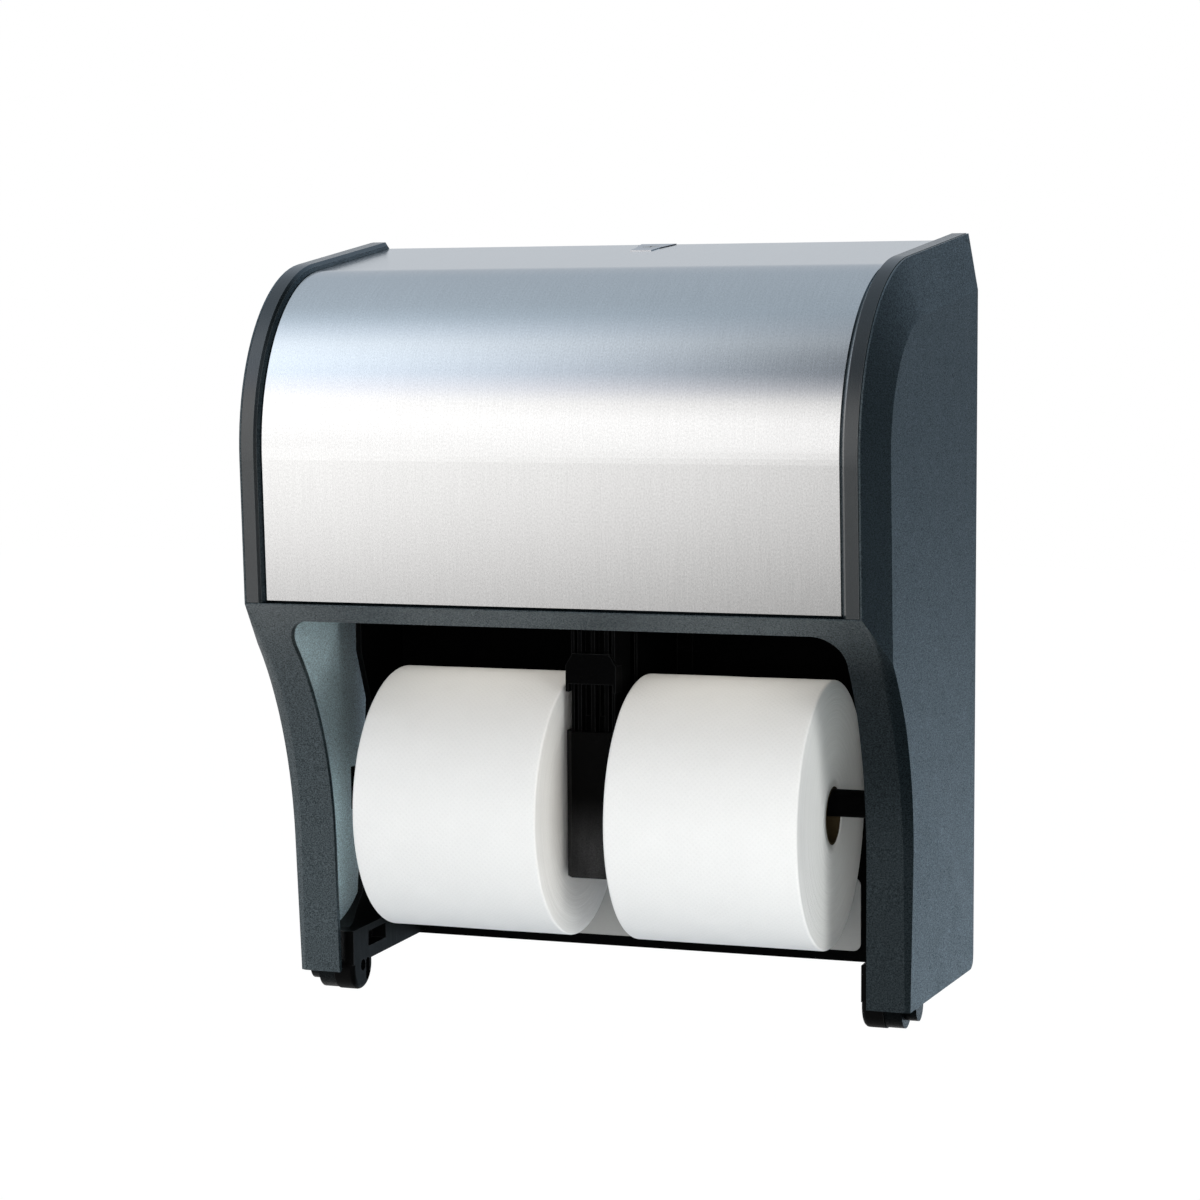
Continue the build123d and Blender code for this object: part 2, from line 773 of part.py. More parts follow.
# Release slider: a finger plate in front of the post, a stem with a wedge inside it
with BuildPart() as release_slider:
    with BuildSketch(Plane.XZ.offset(-slider_back_y)):
        with BuildLine():
            Polyline(
                (-slider_half, slider_bottom_z),
                (slider_half, slider_bottom_z),
                (slider_half, slider_shoulder_z),
                (slider_top_half, slider_top_z),
                (-slider_top_half, slider_top_z),
                (-slider_half, slider_shoulder_z),
                close=True,
            )
        make_face()
    extrude(amount=slider_back_y - slider_front_y)
    leg_inner_x = post_wall_outer_x + slot_clearance
    for side in (-1, 1):
        legs = sorted((side * leg_inner_x, side * slider_half))
        necks = sorted((side * neck_inner_x, side * neck_outer_x))
        block(legs, (slider_front_y, slider_leg_back_y), (slider_leg_bottom_z, slider_shoulder_z))
        block(necks, (slider_back_y, stem_front_y), (neck_low_z, neck_high_z))
    stem_top_z = peg_z + wedge_above
    block((-stem_half, stem_half), (stem_front_y, stem_back_y), (stem_bottom_z, stem_top_z))
    block(
        (-spring_seat_half, spring_seat_half),
        (stem_back_y, spring_y + spring_seat_half),
        (stem_bottom_z, stem_bottom_z + spring_seat_thickness),
    )
    with BuildSketch(Plane.XZ.offset(-wedge_back_y)):
        with BuildLine():
            wedge_low_half = wedge_half_at_peg - wedge_below * wedge_slope
            wedge_high_half = wedge_half_at_peg + wedge_above * wedge_slope
            Polyline(
                (-wedge_low_half, peg_z - wedge_below),
                (wedge_low_half, peg_z - wedge_below),
                (wedge_high_half, stem_top_z),
                (-wedge_high_half, stem_top_z),
                close=True,
            )
        make_face()
    extrude(amount=wedge_back_y - stem_back_y)
save(release_slider.part, "release_slider")

# Return spring under the slider, as the tube that its coils fill
with BuildPart() as return_spring:
    with BuildSketch(Plane.XY.offset(spring_bottom_z)):
        with Locations((0, spring_y)):
            Circle(spring_radius)
            Circle(spring_radius - spring_wire, mode=Mode.SUBTRACT)
    extrude(amount=stem_bottom_z - spring_end_clearance - spring_bottom_z)
save(return_spring.part, "return_spring")

# Pawl: its tip holds up the reserve carriage, its tail has a peg that rides the wedge
with BuildPart() as pawl:
    with BuildSketch(Plane.XZ.offset(-pawl_back_y)):
        with Locations((pawl_pivot_x, pawl_pivot_z)):
            Polygon(
                (-pawl_arm_half, 0),
                (pawl_arm_half, 0),
                (pawl_tip_outer, pawl_reach),
                (pawl_tip_inner, pawl_reach),
                align=None,
            )
            Circle(pawl_reach - rest_clearance, mode=Mode.INTERSECT)
            Circle(pawl_hub_radius)
            tail_x = peg_x - pawl_pivot_x
            Polygon(
                (pawl_arm_half, 0),
                (-pawl_arm_half, 0),
                (tail_x - pawl_tail_half, -peg_drop - pawl_tail_half),
                (tail_x + pawl_tail_half, -peg_drop - pawl_tail_half),
                align=None,
            )
            Circle(pawl_pin_radius + pawl_pin_clearance, mode=Mode.SUBTRACT)
    extrude(amount=pawl_back_y - pawl_front_y)
    with BuildSketch(Plane.XZ.offset(-pawl_front_y)):
        with Locations((peg_x, peg_z)):
            Circle(peg_radius)
    extrude(amount=pawl_front_y - peg_front_y)
save_pair(pawl.part, "pawl")

with BuildPart() as pawl_pins:
    with BuildSketch(Plane.XZ.offset(-post_web_front_y - pin_plate_thickness)):
        with Locations((-pawl_pivot_x, pawl_pivot_z), (pawl_pivot_x, pawl_pivot_z)):
            Circle(pawl_pin_radius)
    extrude(amount=post_web_front_y + pin_plate_thickness - pawl_front_y + pawl_pin_proud)
save(pawl_pins.part, "pawl_pins")

# Paper rolls, cores, rods and carriages on the right at both levels, and their mirror images
for level, roll_z in (("lower", lower_roll_z), ("reserve", reserve_roll_z)):
    roll_plane = Plane.YZ.offset(roll_inner_face)
    rod_z = roll_z + rod_z_offset

    with BuildPart() as paper_roll:
        with BuildSketch(roll_plane):
            with Locations((roll_y, roll_z)):
                Circle(roll_radius)
        extrude(amount=roll_width)
        fillet(paper_roll.edges().filter_by(GeomType.CIRCLE), roll_edge_radius)
        with BuildSketch(roll_plane):
            with Locations((roll_y, roll_z)):
                Circle(core_bore_radius + core_wall)
        extrude(amount=roll_width, mode=Mode.SUBTRACT)
    save_pair(paper_roll.part, f"paper_roll_{level}")

    with BuildPart() as roll_core:
        with BuildSketch(roll_plane):
            with Locations((roll_y, roll_z)):
                Circle(core_bore_radius + core_wall)
                Circle(core_bore_radius, mode=Mode.SUBTRACT)
        extrude(amount=roll_width)
    save_pair(roll_core.part, f"roll_core_{level}")

    with BuildPart() as roll_rod:
        with BuildSketch(Plane.YZ.offset(carriage_outer_x)):
            with Locations((roll_y, rod_z)):
                Circle(rod_radius)
        extrude(amount=rod_end_x - carriage_outer_x)
        chamfer(roll_rod.faces().sort_by(Axis.X)[-1].edges(), rod_end_chamfer)
        with BuildSketch(Plane.YZ.offset(spigot_end_x)):
            with Locations((roll_y, rod_z)):
                Circle(spigot_radius)
        extrude(amount=carriage_outer_x - spigot_end_x)
    save_pair(roll_rod.part, f"roll_rod_{level}")

    with BuildPart() as carriage:
        flange_depth = (roll_y - carriage_half_depth, roll_y + carriage_half_depth)
        flange_height = (rod_z - carriage_half_height, rod_z + carriage_half_height)
        inner_flange_x = post_wall_inner_x - track_clearance
        outer_flange_x = post_wall_outer_x + track_clearance
        block((carriage_inner_x, inner_flange_x), flange_depth, flange_height)
        block((outer_flange_x, carriage_outer_x), flange_depth, flange_height)
        block(
            (inner_flange_x, outer_flange_x),
            (roll_y - neck_half_depth, roll_y + neck_half_depth),
            flange_height,
        )
        with BuildSketch(Plane.YZ.offset(carriage_inner_x)):
            with Locations((roll_y, rod_z)):
                Circle(spigot_radius + spigot_clearance)
        extrude(amount=carriage_outer_x - carriage_inner_x, mode=Mode.SUBTRACT)
    save_pair(carriage.part, f"carriage_{level}")

# Cover shell: closed form, hollowed, with a recessed seat for the panel and a cut between the arms
with BuildPart() as cover_shell:
    add(cover_body(0, 0))
    add(cover_body(cover_wall, cover_wall, overshoot, -overshoot), mode=Mode.SUBTRACT)
    seat = drafted_slab(
        rim_band(0, skin_inset, seam_z - skin_wall, cover_back_y), recess_half + skin_wall, recess_draft
    )
    add(both_sides(seat))
    recess = drafted_slab(rim_band(-cut_proud, seat_inset, seam_z, overshoot), recess_half, recess_draft)
    add(both_sides(recess), mode=Mode.SUBTRACT)
    groove_band = rim_band(-cut_proud, strip_depth, seam_z, overshoot)
    groove = drafted_slab(groove_band, rim_half - strip_border, rim_draft)
    add(both_sides(groove), mode=Mode.SUBTRACT)
    bevel = rim_bevel()
    add(both_sides(bevel), mode=Mode.SUBTRACT)
    with BuildSketch(Plane.XZ.offset(-opening_depth_y)):
        with BuildLine():
            Polyline(
                (-opening_half_bottom, 0),
                (-opening_half_bottom, -overshoot),
                (opening_half_bottom, -overshoot),
                (opening_half_bottom, 0),
                (opening_half_top, opening_top_z),
                (-opening_half_top, opening_top_z),
                close=True,
            )
        opening = make_face()
        fillet(opening.vertices().group_by(Axis.Y)[-1], opening_corner_radius)
    extrude(amount=opening_depth_y - kink_y + overshoot, mode=Mode.SUBTRACT)
    # Hinge knuckles, each webbed to its side wall, and the bulge round the hinge outside
    for side in (-1, 1):
        knuckle_x = wing_inner_x + knuckle_side_gap
        with BuildSketch(Plane.YZ.offset(side * knuckle_x)):
            with Locations((hinge_y, hinge_z)):
                Circle(cover_knuckle_radius)
            with Locations((hinge_y, hinge_z + cover_knuckle_height / 2)):
                Rectangle(2 * cover_knuckle_radius, cover_knuckle_height)
        extrude(amount=side * (cover_knuckle_end_x - knuckle_x))
        with BuildSketch(Plane.YZ.offset(side * knuckle_x)):
            with Locations((hinge_y, hinge_z)):
                Circle(bulge_radius)
        extrude(amount=side * (bulge_end_x - knuckle_x))
        block(
            sorted((side * cover_knuckle_end_x, side * (bulge_end_x - cover_wall / 2))),
            (hinge_y - cover_knuckle_radius, hinge_y + cover_knuckle_radius),
            (0, cover_knuckle_height),
        )
        with BuildSketch(Plane.YZ.offset(side * knuckle_x)):
            with Locations((hinge_y, hinge_z)):
                Circle(hinge_pin_radius + hinge_running_clearance)
        extrude(amount=side * (pin_end_x + knuckle_side_gap - knuckle_x), mode=Mode.SUBTRACT)
    # Holes for the lock barrel and for the studs of the panel's clips
    with BuildSketch(lock_plane):
        Circle(barrel_radius + barrel_clearance)
        with Locations(*clip_places):
            Circle(clip_stud_radius + clip_stud_clearance)
    extrude(amount=-skin_inset - skin_wall, mode=Mode.SUBTRACT)
    foot_corners = (
        cover_shell.edges()
        .filter_by(Axis.X)
        .filter_by_position(Axis.Y, cover_back_y - cover_wall_gap / 2, 0)
        .filter_by_position(Axis.Z, -cover_wall_gap, cover_wall_gap)
    )
    fillet(foot_corners, back_corner_radius)
save(cover_shell.part, "cover_shell")

# Hinge pins, from the knuckle of each wing into the cover's
with BuildPart() as hinge_pins:
    for side in (-1, 1):
        with BuildSketch(Plane.YZ.offset(side * (foot_inner_x + knuckle_pocket_depth))):
            with Locations((hinge_y, hinge_z)):
                Circle(hinge_pin_radius)
        extrude(amount=side * (pin_end_x - foot_inner_x - knuckle_pocket_depth))
save(hinge_pins.part, "hinge_pins")

# Stainless panel, with a notch round the lock's tongue
tongue_points = [
    (-tongue_back_half, tongue_back),
    (-tongue_waist_half, -tongue_waist),
    (-tongue_front_half, -tongue_front),
    (tongue_front_half, -tongue_front),
    (tongue_waist_half, -tongue_waist),
    (tongue_back_half, tongue_back),
]
with BuildPart() as steel_panel:
    panel_band = rim_band(panel_set_back, seat_inset, seam_z + panel_bottom_gap, -panel_wall_gap)
    add(both_sides(drafted_slab(panel_band, recess_half - panel_gap, recess_draft)))
    with BuildSketch(lock_plane.offset(-seat_inset)):
        with BuildLine():
            Polyline(*tongue_points, close=True)
        make_face()
        offset(amount=tongue_gap, kind=Kind.INTERSECTION)
        with Locations((0, tongue_back)):
            Rectangle(2 * (tongue_back_half + tongue_gap), overshoot)
    extrude(amount=seat_inset, mode=Mode.SUBTRACT)
save(steel_panel.part, "steel_panel")

# Strip on the rim beside the panel, bevelled down towards it
with BuildPart() as rim_strip:
    strip_band = rim_band(-strip_proud, strip_depth, seam_z + strip_gap, cover_back_y)
    add(drafted_slab(strip_band, rim_half - strip_border - strip_gap, rim_draft))
    split(bisect_by=draft_plane(recess_half, recess_draft), keep=Keep.TOP)
    add(bevel, mode=Mode.SUBTRACT)
save_pair(rim_strip.part, "rim_strip")

# Clips that hold the panel's studs under the skin
with BuildPart() as panel_clips:
    with BuildSketch(lock_plane.offset(-skin_inset)):
        with Locations(*clip_places):
            Rectangle(clip_size, clip_size)
    extrude(amount=-clip_height)
    with BuildSketch(lock_plane.offset(-skin_inset)):
        with Locations(*clip_places):
            Circle(clip_stud_radius)
    extrude(amount=skin_wall)
save(panel_clips.part, "panel_clips")

# Lock: tongue-shaped plate on the cover, tube below it, and the barrel with its cam
with BuildPart() as lock_tongue:
    with BuildSketch(lock_plane.offset(-seat_inset)):
        with BuildLine():
            Polyline(*tongue_points, close=True)
        make_face()
        Circle(barrel_radius + barrel_clearance, mode=Mode.SUBTRACT)
    extrude(amount=tongue_thickness)
save(lock_tongue.part, "lock_tongue")

with BuildPart() as lock_housing:
    with BuildSketch(lock_plane.offset(-skin_inset)):
        Circle(housing_radius)
        Circle(barrel_radius + barrel_clearance, mode=Mode.SUBTRACT)
    extrude(amount=-housing_length)
save(lock_housing.part, "lock_housing")

with BuildPart() as lock_barrel:
    with BuildSketch(lock_plane.offset(-barrel_top)):
        Circle(barrel_radius)
    extrude(amount=barrel_top - cam_top)
    with BuildSketch(lock_plane.offset(-cam_top)):
        Circle(cam_spigot_radius)
    extrude(amount=-cam_thickness)
    with BuildSketch(lock_plane.offset(-barrel_top)):
        Rectangle(key_slot_width, key_slot_length)
    extrude(amount=-key_slot_depth, mode=Mode.SUBTRACT)
    with BuildSketch(lock_plane.offset(-cam_bottom)):
        Circle(cam_screw_shank_radius + cam_fit)
    extrude(amount=cam_screw_length + cam_fit, mode=Mode.SUBTRACT)
save(lock_barrel.part, "lock_barrel")

with BuildPart() as lock_cam:
    with BuildSketch(lock_plane.offset(-cam_top)):
        Circle(cam_eye_radius)
        with Locations((0, cam_length / 2)):
            Rectangle(2 * cam_half_width, cam_length)
        Circle(cam_spigot_radius + cam_fit, mode=Mode.SUBTRACT)
    extrude(amount=-cam_thickness)
save(lock_cam.part, "lock_cam")

with BuildPart() as cam_screw:
    with BuildSketch(lock_plane.offset(-cam_bottom)):
        Circle(cam_screw_head_radius)
    extrude(amount=-cam_screw_head_height)
    with BuildSketch(lock_plane.offset(-cam_bottom)):
        Circle(cam_screw_shank_radius)
    extrude(amount=cam_screw_length)
    with BuildSketch(lock_plane.offset(-cam_bottom - cam_screw_head_height)):
        Rectangle(2 * cam_screw_head_radius, screw_drive_width)
    extrude(amount=screw_drive_depth, mode=Mode.SUBTRACT)
save(cam_screw.part, "cam_screw")

# Strike on the back plate, one of whose lugs stands in front of the turned cam
with BuildPart() as lock_strike:
    block(
        (-strike_outer_x, strike_outer_x),
        (plate_front_y - strike_sheet, plate_front_y),
        (strike_foot_z, strike_shelf_z),
    )
    block(
        (-strike_outer_x, strike_outer_x),
        (strike_front_y, plate_front_y - strike_sheet),
        (strike_shelf_z - strike_sheet, strike_shelf_z),
    )
    for side in (-1, 1):
        lug = sorted((side * strike_inner_x, side * strike_outer_x))
        block(lug, (strike_front_y, strike_back_y), (strike_shelf_z, strike_top_z))
    screw_holes(strike_seat, strike_screw_places)
save(lock_strike.part, "lock_strike")

with BuildPart() as strike_screws:
    add(screws(strike_seat, strike_screw_places))
save(strike_screws.part, "strike_screws")
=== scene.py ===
"""Four-roll toilet paper dispenser: finishes, paper rolls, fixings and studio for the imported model.

Everything is in metres in the model's own frame: X to the right, Y into the wall, Z up.
"""

from math import atan2, cos, pi, radians, sin, tau

import bmesh
import bpy
from mathutils import Matrix, Vector, noise


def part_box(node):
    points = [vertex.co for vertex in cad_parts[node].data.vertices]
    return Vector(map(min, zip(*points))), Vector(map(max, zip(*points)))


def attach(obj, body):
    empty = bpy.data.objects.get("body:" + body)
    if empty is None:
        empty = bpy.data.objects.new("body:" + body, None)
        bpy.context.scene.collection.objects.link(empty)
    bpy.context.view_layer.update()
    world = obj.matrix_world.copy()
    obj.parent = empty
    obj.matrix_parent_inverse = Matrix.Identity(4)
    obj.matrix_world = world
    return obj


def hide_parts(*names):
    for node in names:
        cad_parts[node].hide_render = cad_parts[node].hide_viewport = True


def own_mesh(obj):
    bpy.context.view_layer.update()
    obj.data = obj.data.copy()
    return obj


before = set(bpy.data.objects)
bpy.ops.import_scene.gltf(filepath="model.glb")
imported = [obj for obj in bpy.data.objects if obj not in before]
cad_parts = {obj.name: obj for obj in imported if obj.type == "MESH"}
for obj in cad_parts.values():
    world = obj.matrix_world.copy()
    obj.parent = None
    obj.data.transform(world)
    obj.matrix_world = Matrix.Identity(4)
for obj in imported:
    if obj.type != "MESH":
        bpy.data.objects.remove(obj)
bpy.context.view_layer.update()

bl_info = {
    "name": "Toilet paper dispenser",
    "version": (1, 0, 0),
    "blender": (4, 5, 0),
    "location": "View3D > Sidebar > Dispenser",
    "description": "Dresses the four-roll dispenser and sets up its studio",
    "category": "Object",
}

sides = ("left", "right")
levels = ("lower", "reserve")

# Where the cover's finish and its painted light and shade change: how far out its side walls start, how far
# from the axis of the panel's nose its rim starts and how far below the panel it ends, and how high its arms
# and its knuckles reach
wall_start, rim_radius, rim_foot = 0.146, 0.075, 0.012
arm_top, knuckle_top = 0.2, 0.0
# Width of the painted highlights along edges
edge_highlight_radius = 0.0005


# Sizes and colours a user may change


def colour_setting(name, description, default):
    """A colour a user may change."""
    return bpy.props.FloatVectorProperty(
        name=name, description=description, subtype="COLOR", default=default, min=0, max=1
    )


def length_setting(name, description, default, least, most):
    """A length a user may change, in metres."""
    return bpy.props.FloatProperty(
        name=name, description=description, unit="LENGTH", default=default, min=least, max=most
    )


def share_setting(name, description, default, most=1):
    """A share or a strength a user may change."""
    return bpy.props.FloatProperty(
        name=name, description=description, subtype="FACTOR", default=default, min=0, max=most
    )


def angle_setting(name, description, degrees):
    """An angle a user may change."""
    return bpy.props.FloatProperty(
        name=name, description=description, subtype="ANGLE", default=radians(degrees)
    )


class PlasticSettings(bpy.types.PropertyGroup):
    """Moulded plastics of the cover and the chassis."""

    smoke: colour_setting("Smoke plastic", "Colour of the cover's outer faces", (0.0075, 0.0125, 0.0155))
    # Painted light: a much lighter colour for the walls' inner faces, for the light that comes through the
    # plastic
    inside_painted_light: colour_setting(
        "Smoke plastic inside", "Colour of the cover's side walls seen from within", (0.42, 0.54, 0.58)
    )
    strip: colour_setting("Rim strips", "Colour of the strips beside the panel", (0.010, 0.0135, 0.0155))
    chassis: colour_setting("Chassis", "Colour of the black chassis mouldings", (0.0014, 0.0014, 0.0015))
    sheen: share_setting("Sheen", "Strength of the cover's reflections", 1.15, 2)
    sheen_tint: colour_setting("Sheen tint", "Tint of the cover's reflections", (0.78, 0.93, 1.0))
    # Painted highlight: a share of lighter grey painted along the plastic's edges
    edge_highlight_share: share_setting("Edge wear", "Share of grey on the worn edges of the black plastic", 0.05)
    grain_size: length_setting(
        "Grain size", "Width of one grain of the moulded texture", 0.00065, 0.0002, 0.005
    )
    grain_depth: length_setting("Grain depth", "Height of the moulded texture", 0.00014, 0, 0.001)


class SteelSettings(bpy.types.PropertyGroup):
    """Brushed stainless panel and plain metal fittings."""

    panel: colour_setting("Panel", "Colour of the brushed stainless panel", (0.84, 0.835, 0.83))
    panel_roughness: share_setting("Panel roughness", "Blur of the panel's reflections", 0.15)
    brush_width: length_setting("Brush line width", "Width of one brushing line", 0.00035, 0.0001, 0.005)
    brush_length: length_setting("Brush line length", "Length of one brushing line", 0.035, 0.001, 0.5)
    brush_pull: share_setting("Brush pull", "How far the brushing draws reflections out sideways", 0.6)
    nose_radius: length_setting("Nose radius", "Radius of the panel's rounded nose", 0.0883, 0.01, 0.5)
    nose_height: length_setting("Nose height", "Height of the centre of the panel's nose", 0.2706, 0, 1)
    zinc: colour_setting("Zinc plate", "Colour of the plated screws, pins and clips", (0.56, 0.57, 0.58))


class RollSettings(bpy.types.PropertyGroup):
    """Paper rolls and their cardboard cores."""

    edge_softness: length_setting(
        "Edge softness", "Radius of a roll's soft edges", 0.0014, 0.0005, 0.01
    )
    dish: length_setting("Dish", "How far the rim of a roll's end face falls back", 0.0004, 0, 0.005)
    tail_step: length_setting("Tail step", "Thickness of the last turn where it ends", 0.0004, 0, 0.002)
    unevenness: length_setting(
        "Unevenness", "How far the winding wanders from a true cylinder", 0.0003, 0, 0.003
    )
    emboss_pitch: length_setting(
        "Emboss pitch", "Distance between two embossed dots", 0.0021, 0.0005, 0.02
    )
    paper: colour_setting("Paper", "Colour of the tissue", (0.885, 0.87, 0.85))
    board: colour_setting("Core board", "Colour of the cardboard cores", (0.05, 0.036, 0.018))


class FittingSettings(bpy.types.PropertyGroup):
    """Screws, return spring, lock and blank plate."""

    head_radius: length_setting("Screw head radius", "Radius of a pan head", 0.003, 0.001, 0.01)
    wire_radius: length_setting(
        "Spring wire radius", "Half the thickness of the spring's wire", 0.0005, 0.0001, 0.003
    )
    slider_travel: length_setting(
        "Slider travel", "How far the slider presses the spring", 0.0195, 0, 0.04
    )
    spring_turns: bpy.props.IntProperty(
        name="Spring turns", description="Number of turns of the return spring", default=15, min=3, max=60
    )
    plate: colour_setting("Blank plate", "Colour of the bare plate under the post", (0.36, 0.355, 0.34))
    tongue: colour_setting("Lock plate", "Colour of the plate around the key slot", (0.74, 0.75, 0.78))


class StudioSettings(bpy.types.PropertyGroup):
    """Camera, lamps and floor."""

    lens: bpy.props.FloatProperty(
        name="Focal length", description="Focal length on a 36 mm sensor", default=87.3, min=10, max=400
    )
    camera_place: bpy.props.FloatVectorProperty(
        name="Camera place", description="Where the camera stands", subtype="TRANSLATION",
        default=(0.467, -1.456, 0.326),
    )
    camera_yaw: angle_setting("Camera yaw", "Turn of the view to the left of straight ahead", 18.99)
    camera_pitch: angle_setting("Camera pitch", "Tilt of the view above level", -5.24)
    camera_roll: angle_setting("Camera roll", "Turn of the view about its own line", -0.28)
    floor_drop: length_setting("Floor drop", "How far the floor lies below the dispenser", 0.45, 0, 3)


# Helpers for node trees


def add_node(tree, kind, inputs=None, **values):
    """Add a node, set its properties, and give its inputs a link or a plain value each."""
    made = tree.nodes.new(kind)
    for name, value in values.items():
        setattr(made, name, value)
    for name, value in (inputs or {}).items():
        socket = made.inputs[name]
        if isinstance(value, bpy.types.NodeSocket):
            tree.links.new(value, socket)
        elif socket.type == "RGBA":
            socket.default_value = (*value, 1)
        else:
            socket.default_value = value
    return made


def math_node(tree, operation, *operands):
    """A Math node's result for its operands, each a socket or a number."""
    return add_node(tree, "ShaderNodeMath", dict(enumerate(operands)), operation=operation).outputs[0]


def product(tree, *factors):
    """The product of two or more sockets or numbers."""
    result = factors[0]
    for factor in factors[1:]:
        result = math_node(tree, "MULTIPLY", result, factor)
    return result


def fade(tree, share, amount):
    """A factor that falls from 1 by the amount as the share goes from 0 to 1."""
    return math_node(tree, "MULTIPLY_ADD", share, -amount, 1.0)


def parts_of(tree, vector):
    """The X, Y and Z of a vector."""
    return add_node(tree, "ShaderNodeSeparateXYZ", {0: vector}).outputs


def ramp(tree, factor, stops):
    """A colour ramp through the given (place, colour) stops."""
    made = add_node(tree, "ShaderNodeValToRGB", {"Fac": factor})
    elements = made.color_ramp.elements
    while len(elements) < len(stops):
        elements.new(1)
    for element, (place, colour) in zip(elements, stops):
        element.position = place
        element.color = (*colour, 1)
    return made.outputs["Color"]


def noise_at(tree, coordinates, size, detail=2.0, roughness=0.5, stretch=(1, 1, 1)):
    """A noise whose grains are size metres wide, stretched along each axis by stretch."""
    scale = tuple(1 / (size * s) for s in stretch)
    mapping = add_node(tree, "ShaderNodeMapping", {"Vector": coordinates, "Scale": scale})
    return add_node(tree, "ShaderNodeTexNoise", {
        "Vector": mapping.outputs[0], "Scale": 1.0, "Detail": detail, "Roughness": roughness,
    }).outputs["Fac"]


def remap(tree, value, low, high, start, end, kind="LINEAR"):
    """Map the range from low to high onto start to end."""
    return add_node(tree, "ShaderNodeMapRange", {
        "Value": value, "From Min": low, "From Max": high, "To Min": start, "To Max": end,
    }, interpolation_type=kind).outputs["Result"]


def spread(tree, value, start, end):
    """Map a value of 0 to 1 onto start to end."""
    return remap(tree, value, 0.0, 1.0, start, end)


def contrast(tree, value, start, end):
    """Map the middle of a noise's range, where most of its values lie, onto start to end."""
    return remap(tree, value, 0.32, 0.68, start, end)


def step(tree, value, low, high, start=0.0, end=1.0):
    """A soft step of a value from start to end between low and high."""
    return remap(tree, value, low, high, start, end, "SMOOTHSTEP")


def shade(tree, colour, *factors):
    """A colour made lighter or darker by each factor."""
    for factor in factors:
        colour = add_node(
            tree, "ShaderNodeVectorMath", {0: colour, "Scale": factor}, operation="SCALE"
        ).outputs[0]
    return colour


def blend_colours(tree, factor, first, second):
    """Mix two colours, each a socket or a plain colour."""
    return add_node(
        tree, "ShaderNodeMix", {"Factor": factor, 6: first, 7: second}, data_type="RGBA"
    ).outputs[2]


def bumps(tree, *layers):
    """The normal of bumps laid on each other, each given as its pattern and its height in metres."""
    below = {}
    for height, distance in layers:
        made = add_node(
            tree, "ShaderNodeBump", {"Height": height, "Distance": distance, "Strength": 1.0, **below}
        )
        below = {"Normal": made.outputs["Normal"]}
    return below["Normal"]


def new_material(name, **plain):
    """A principled material with plain values set, its tree, its shader and its coordinates."""
    material = bpy.data.materials.new(name)
    material.use_nodes = True
    tree = material.node_tree
    tree.nodes.clear()
    shader = add_node(tree, "ShaderNodeBsdfPrincipled")
    add_node(tree, "ShaderNodeOutputMaterial", {"Surface": shader.outputs[0]})
    for socket, value in plain.items():
        shader.inputs[socket.replace("_", " ").title().replace("Ior", "IOR")].default_value = value
    return material, tree, shader, add_node(tree, "ShaderNodeTexCoord").outputs


def connect(tree, shader, **sockets):
    """Join node outputs to the shader's inputs."""
    names = {
        "colour": "Base Color", "roughness": "Roughness", "normal": "Normal",
        "specular": "Specular IOR Level", "tangent": "Tangent",
    }
    for name, socket in sockets.items():
        tree.links.new(socket, shader.inputs[names[name]])


def edge_highlight_mask(tree, radius):
    """How far the normal rounded over a radius leans away from the face's own, from 0 to 1, which marks where
    edge highlights are painted.
    """
    rounded = add_node(tree, "ShaderNodeBevel", {"Radius": radius}, samples=8).outputs[0]
    flat = add_node(tree, "ShaderNodeNewGeometry").outputs["True Normal"]
    along = add_node(tree, "ShaderNodeVectorMath", {0: rounded, 1: flat}, operation="DOT_PRODUCT")
    return step(tree, along.outputs["Value"], 0.985, 0.86)


# Materials


def inner_walls(tree, turned, spot):
    """Where the cover's side walls face inwards, from 0 to 1, by the normal and the place."""
    steel = bpy.context.scene.dispenser_steel
    low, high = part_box("steel_panel")
    inward = step(tree, product(tree, turned["X"], math_node(tree, "SIGN", spot["X"]), -1.0), 0.55, 0.9)
    # Neither the arms' inner edges nor the rim round the panel's recess are inner walls
    wall = step(tree, math_node(tree, "ABSOLUTE", spot["X"]), wall_start, wall_start + 0.003)
    forward = math_node(tree, "SUBTRACT", low.y + steel.nose_radius, spot["Y"])
    upward = math_node(tree, "SUBTRACT", spot["Z"], steel.nose_height)
    forward, upward = (math_node(tree, "MAXIMUM", way, 0.0) for way in (forward, upward))
    squared = math_node(tree, "ADD", product(tree, forward, forward), product(tree, upward, upward))
    outside = step(tree, math_node(tree, "SQRT", squared), rim_radius, rim_radius + 0.003)
    above = step(tree, spot["Z"], low.z - rim_foot, low.z - rim_foot + 0.004)
    return product(tree, inward, wall, fade(tree, product(tree, outside, above), 1.0))


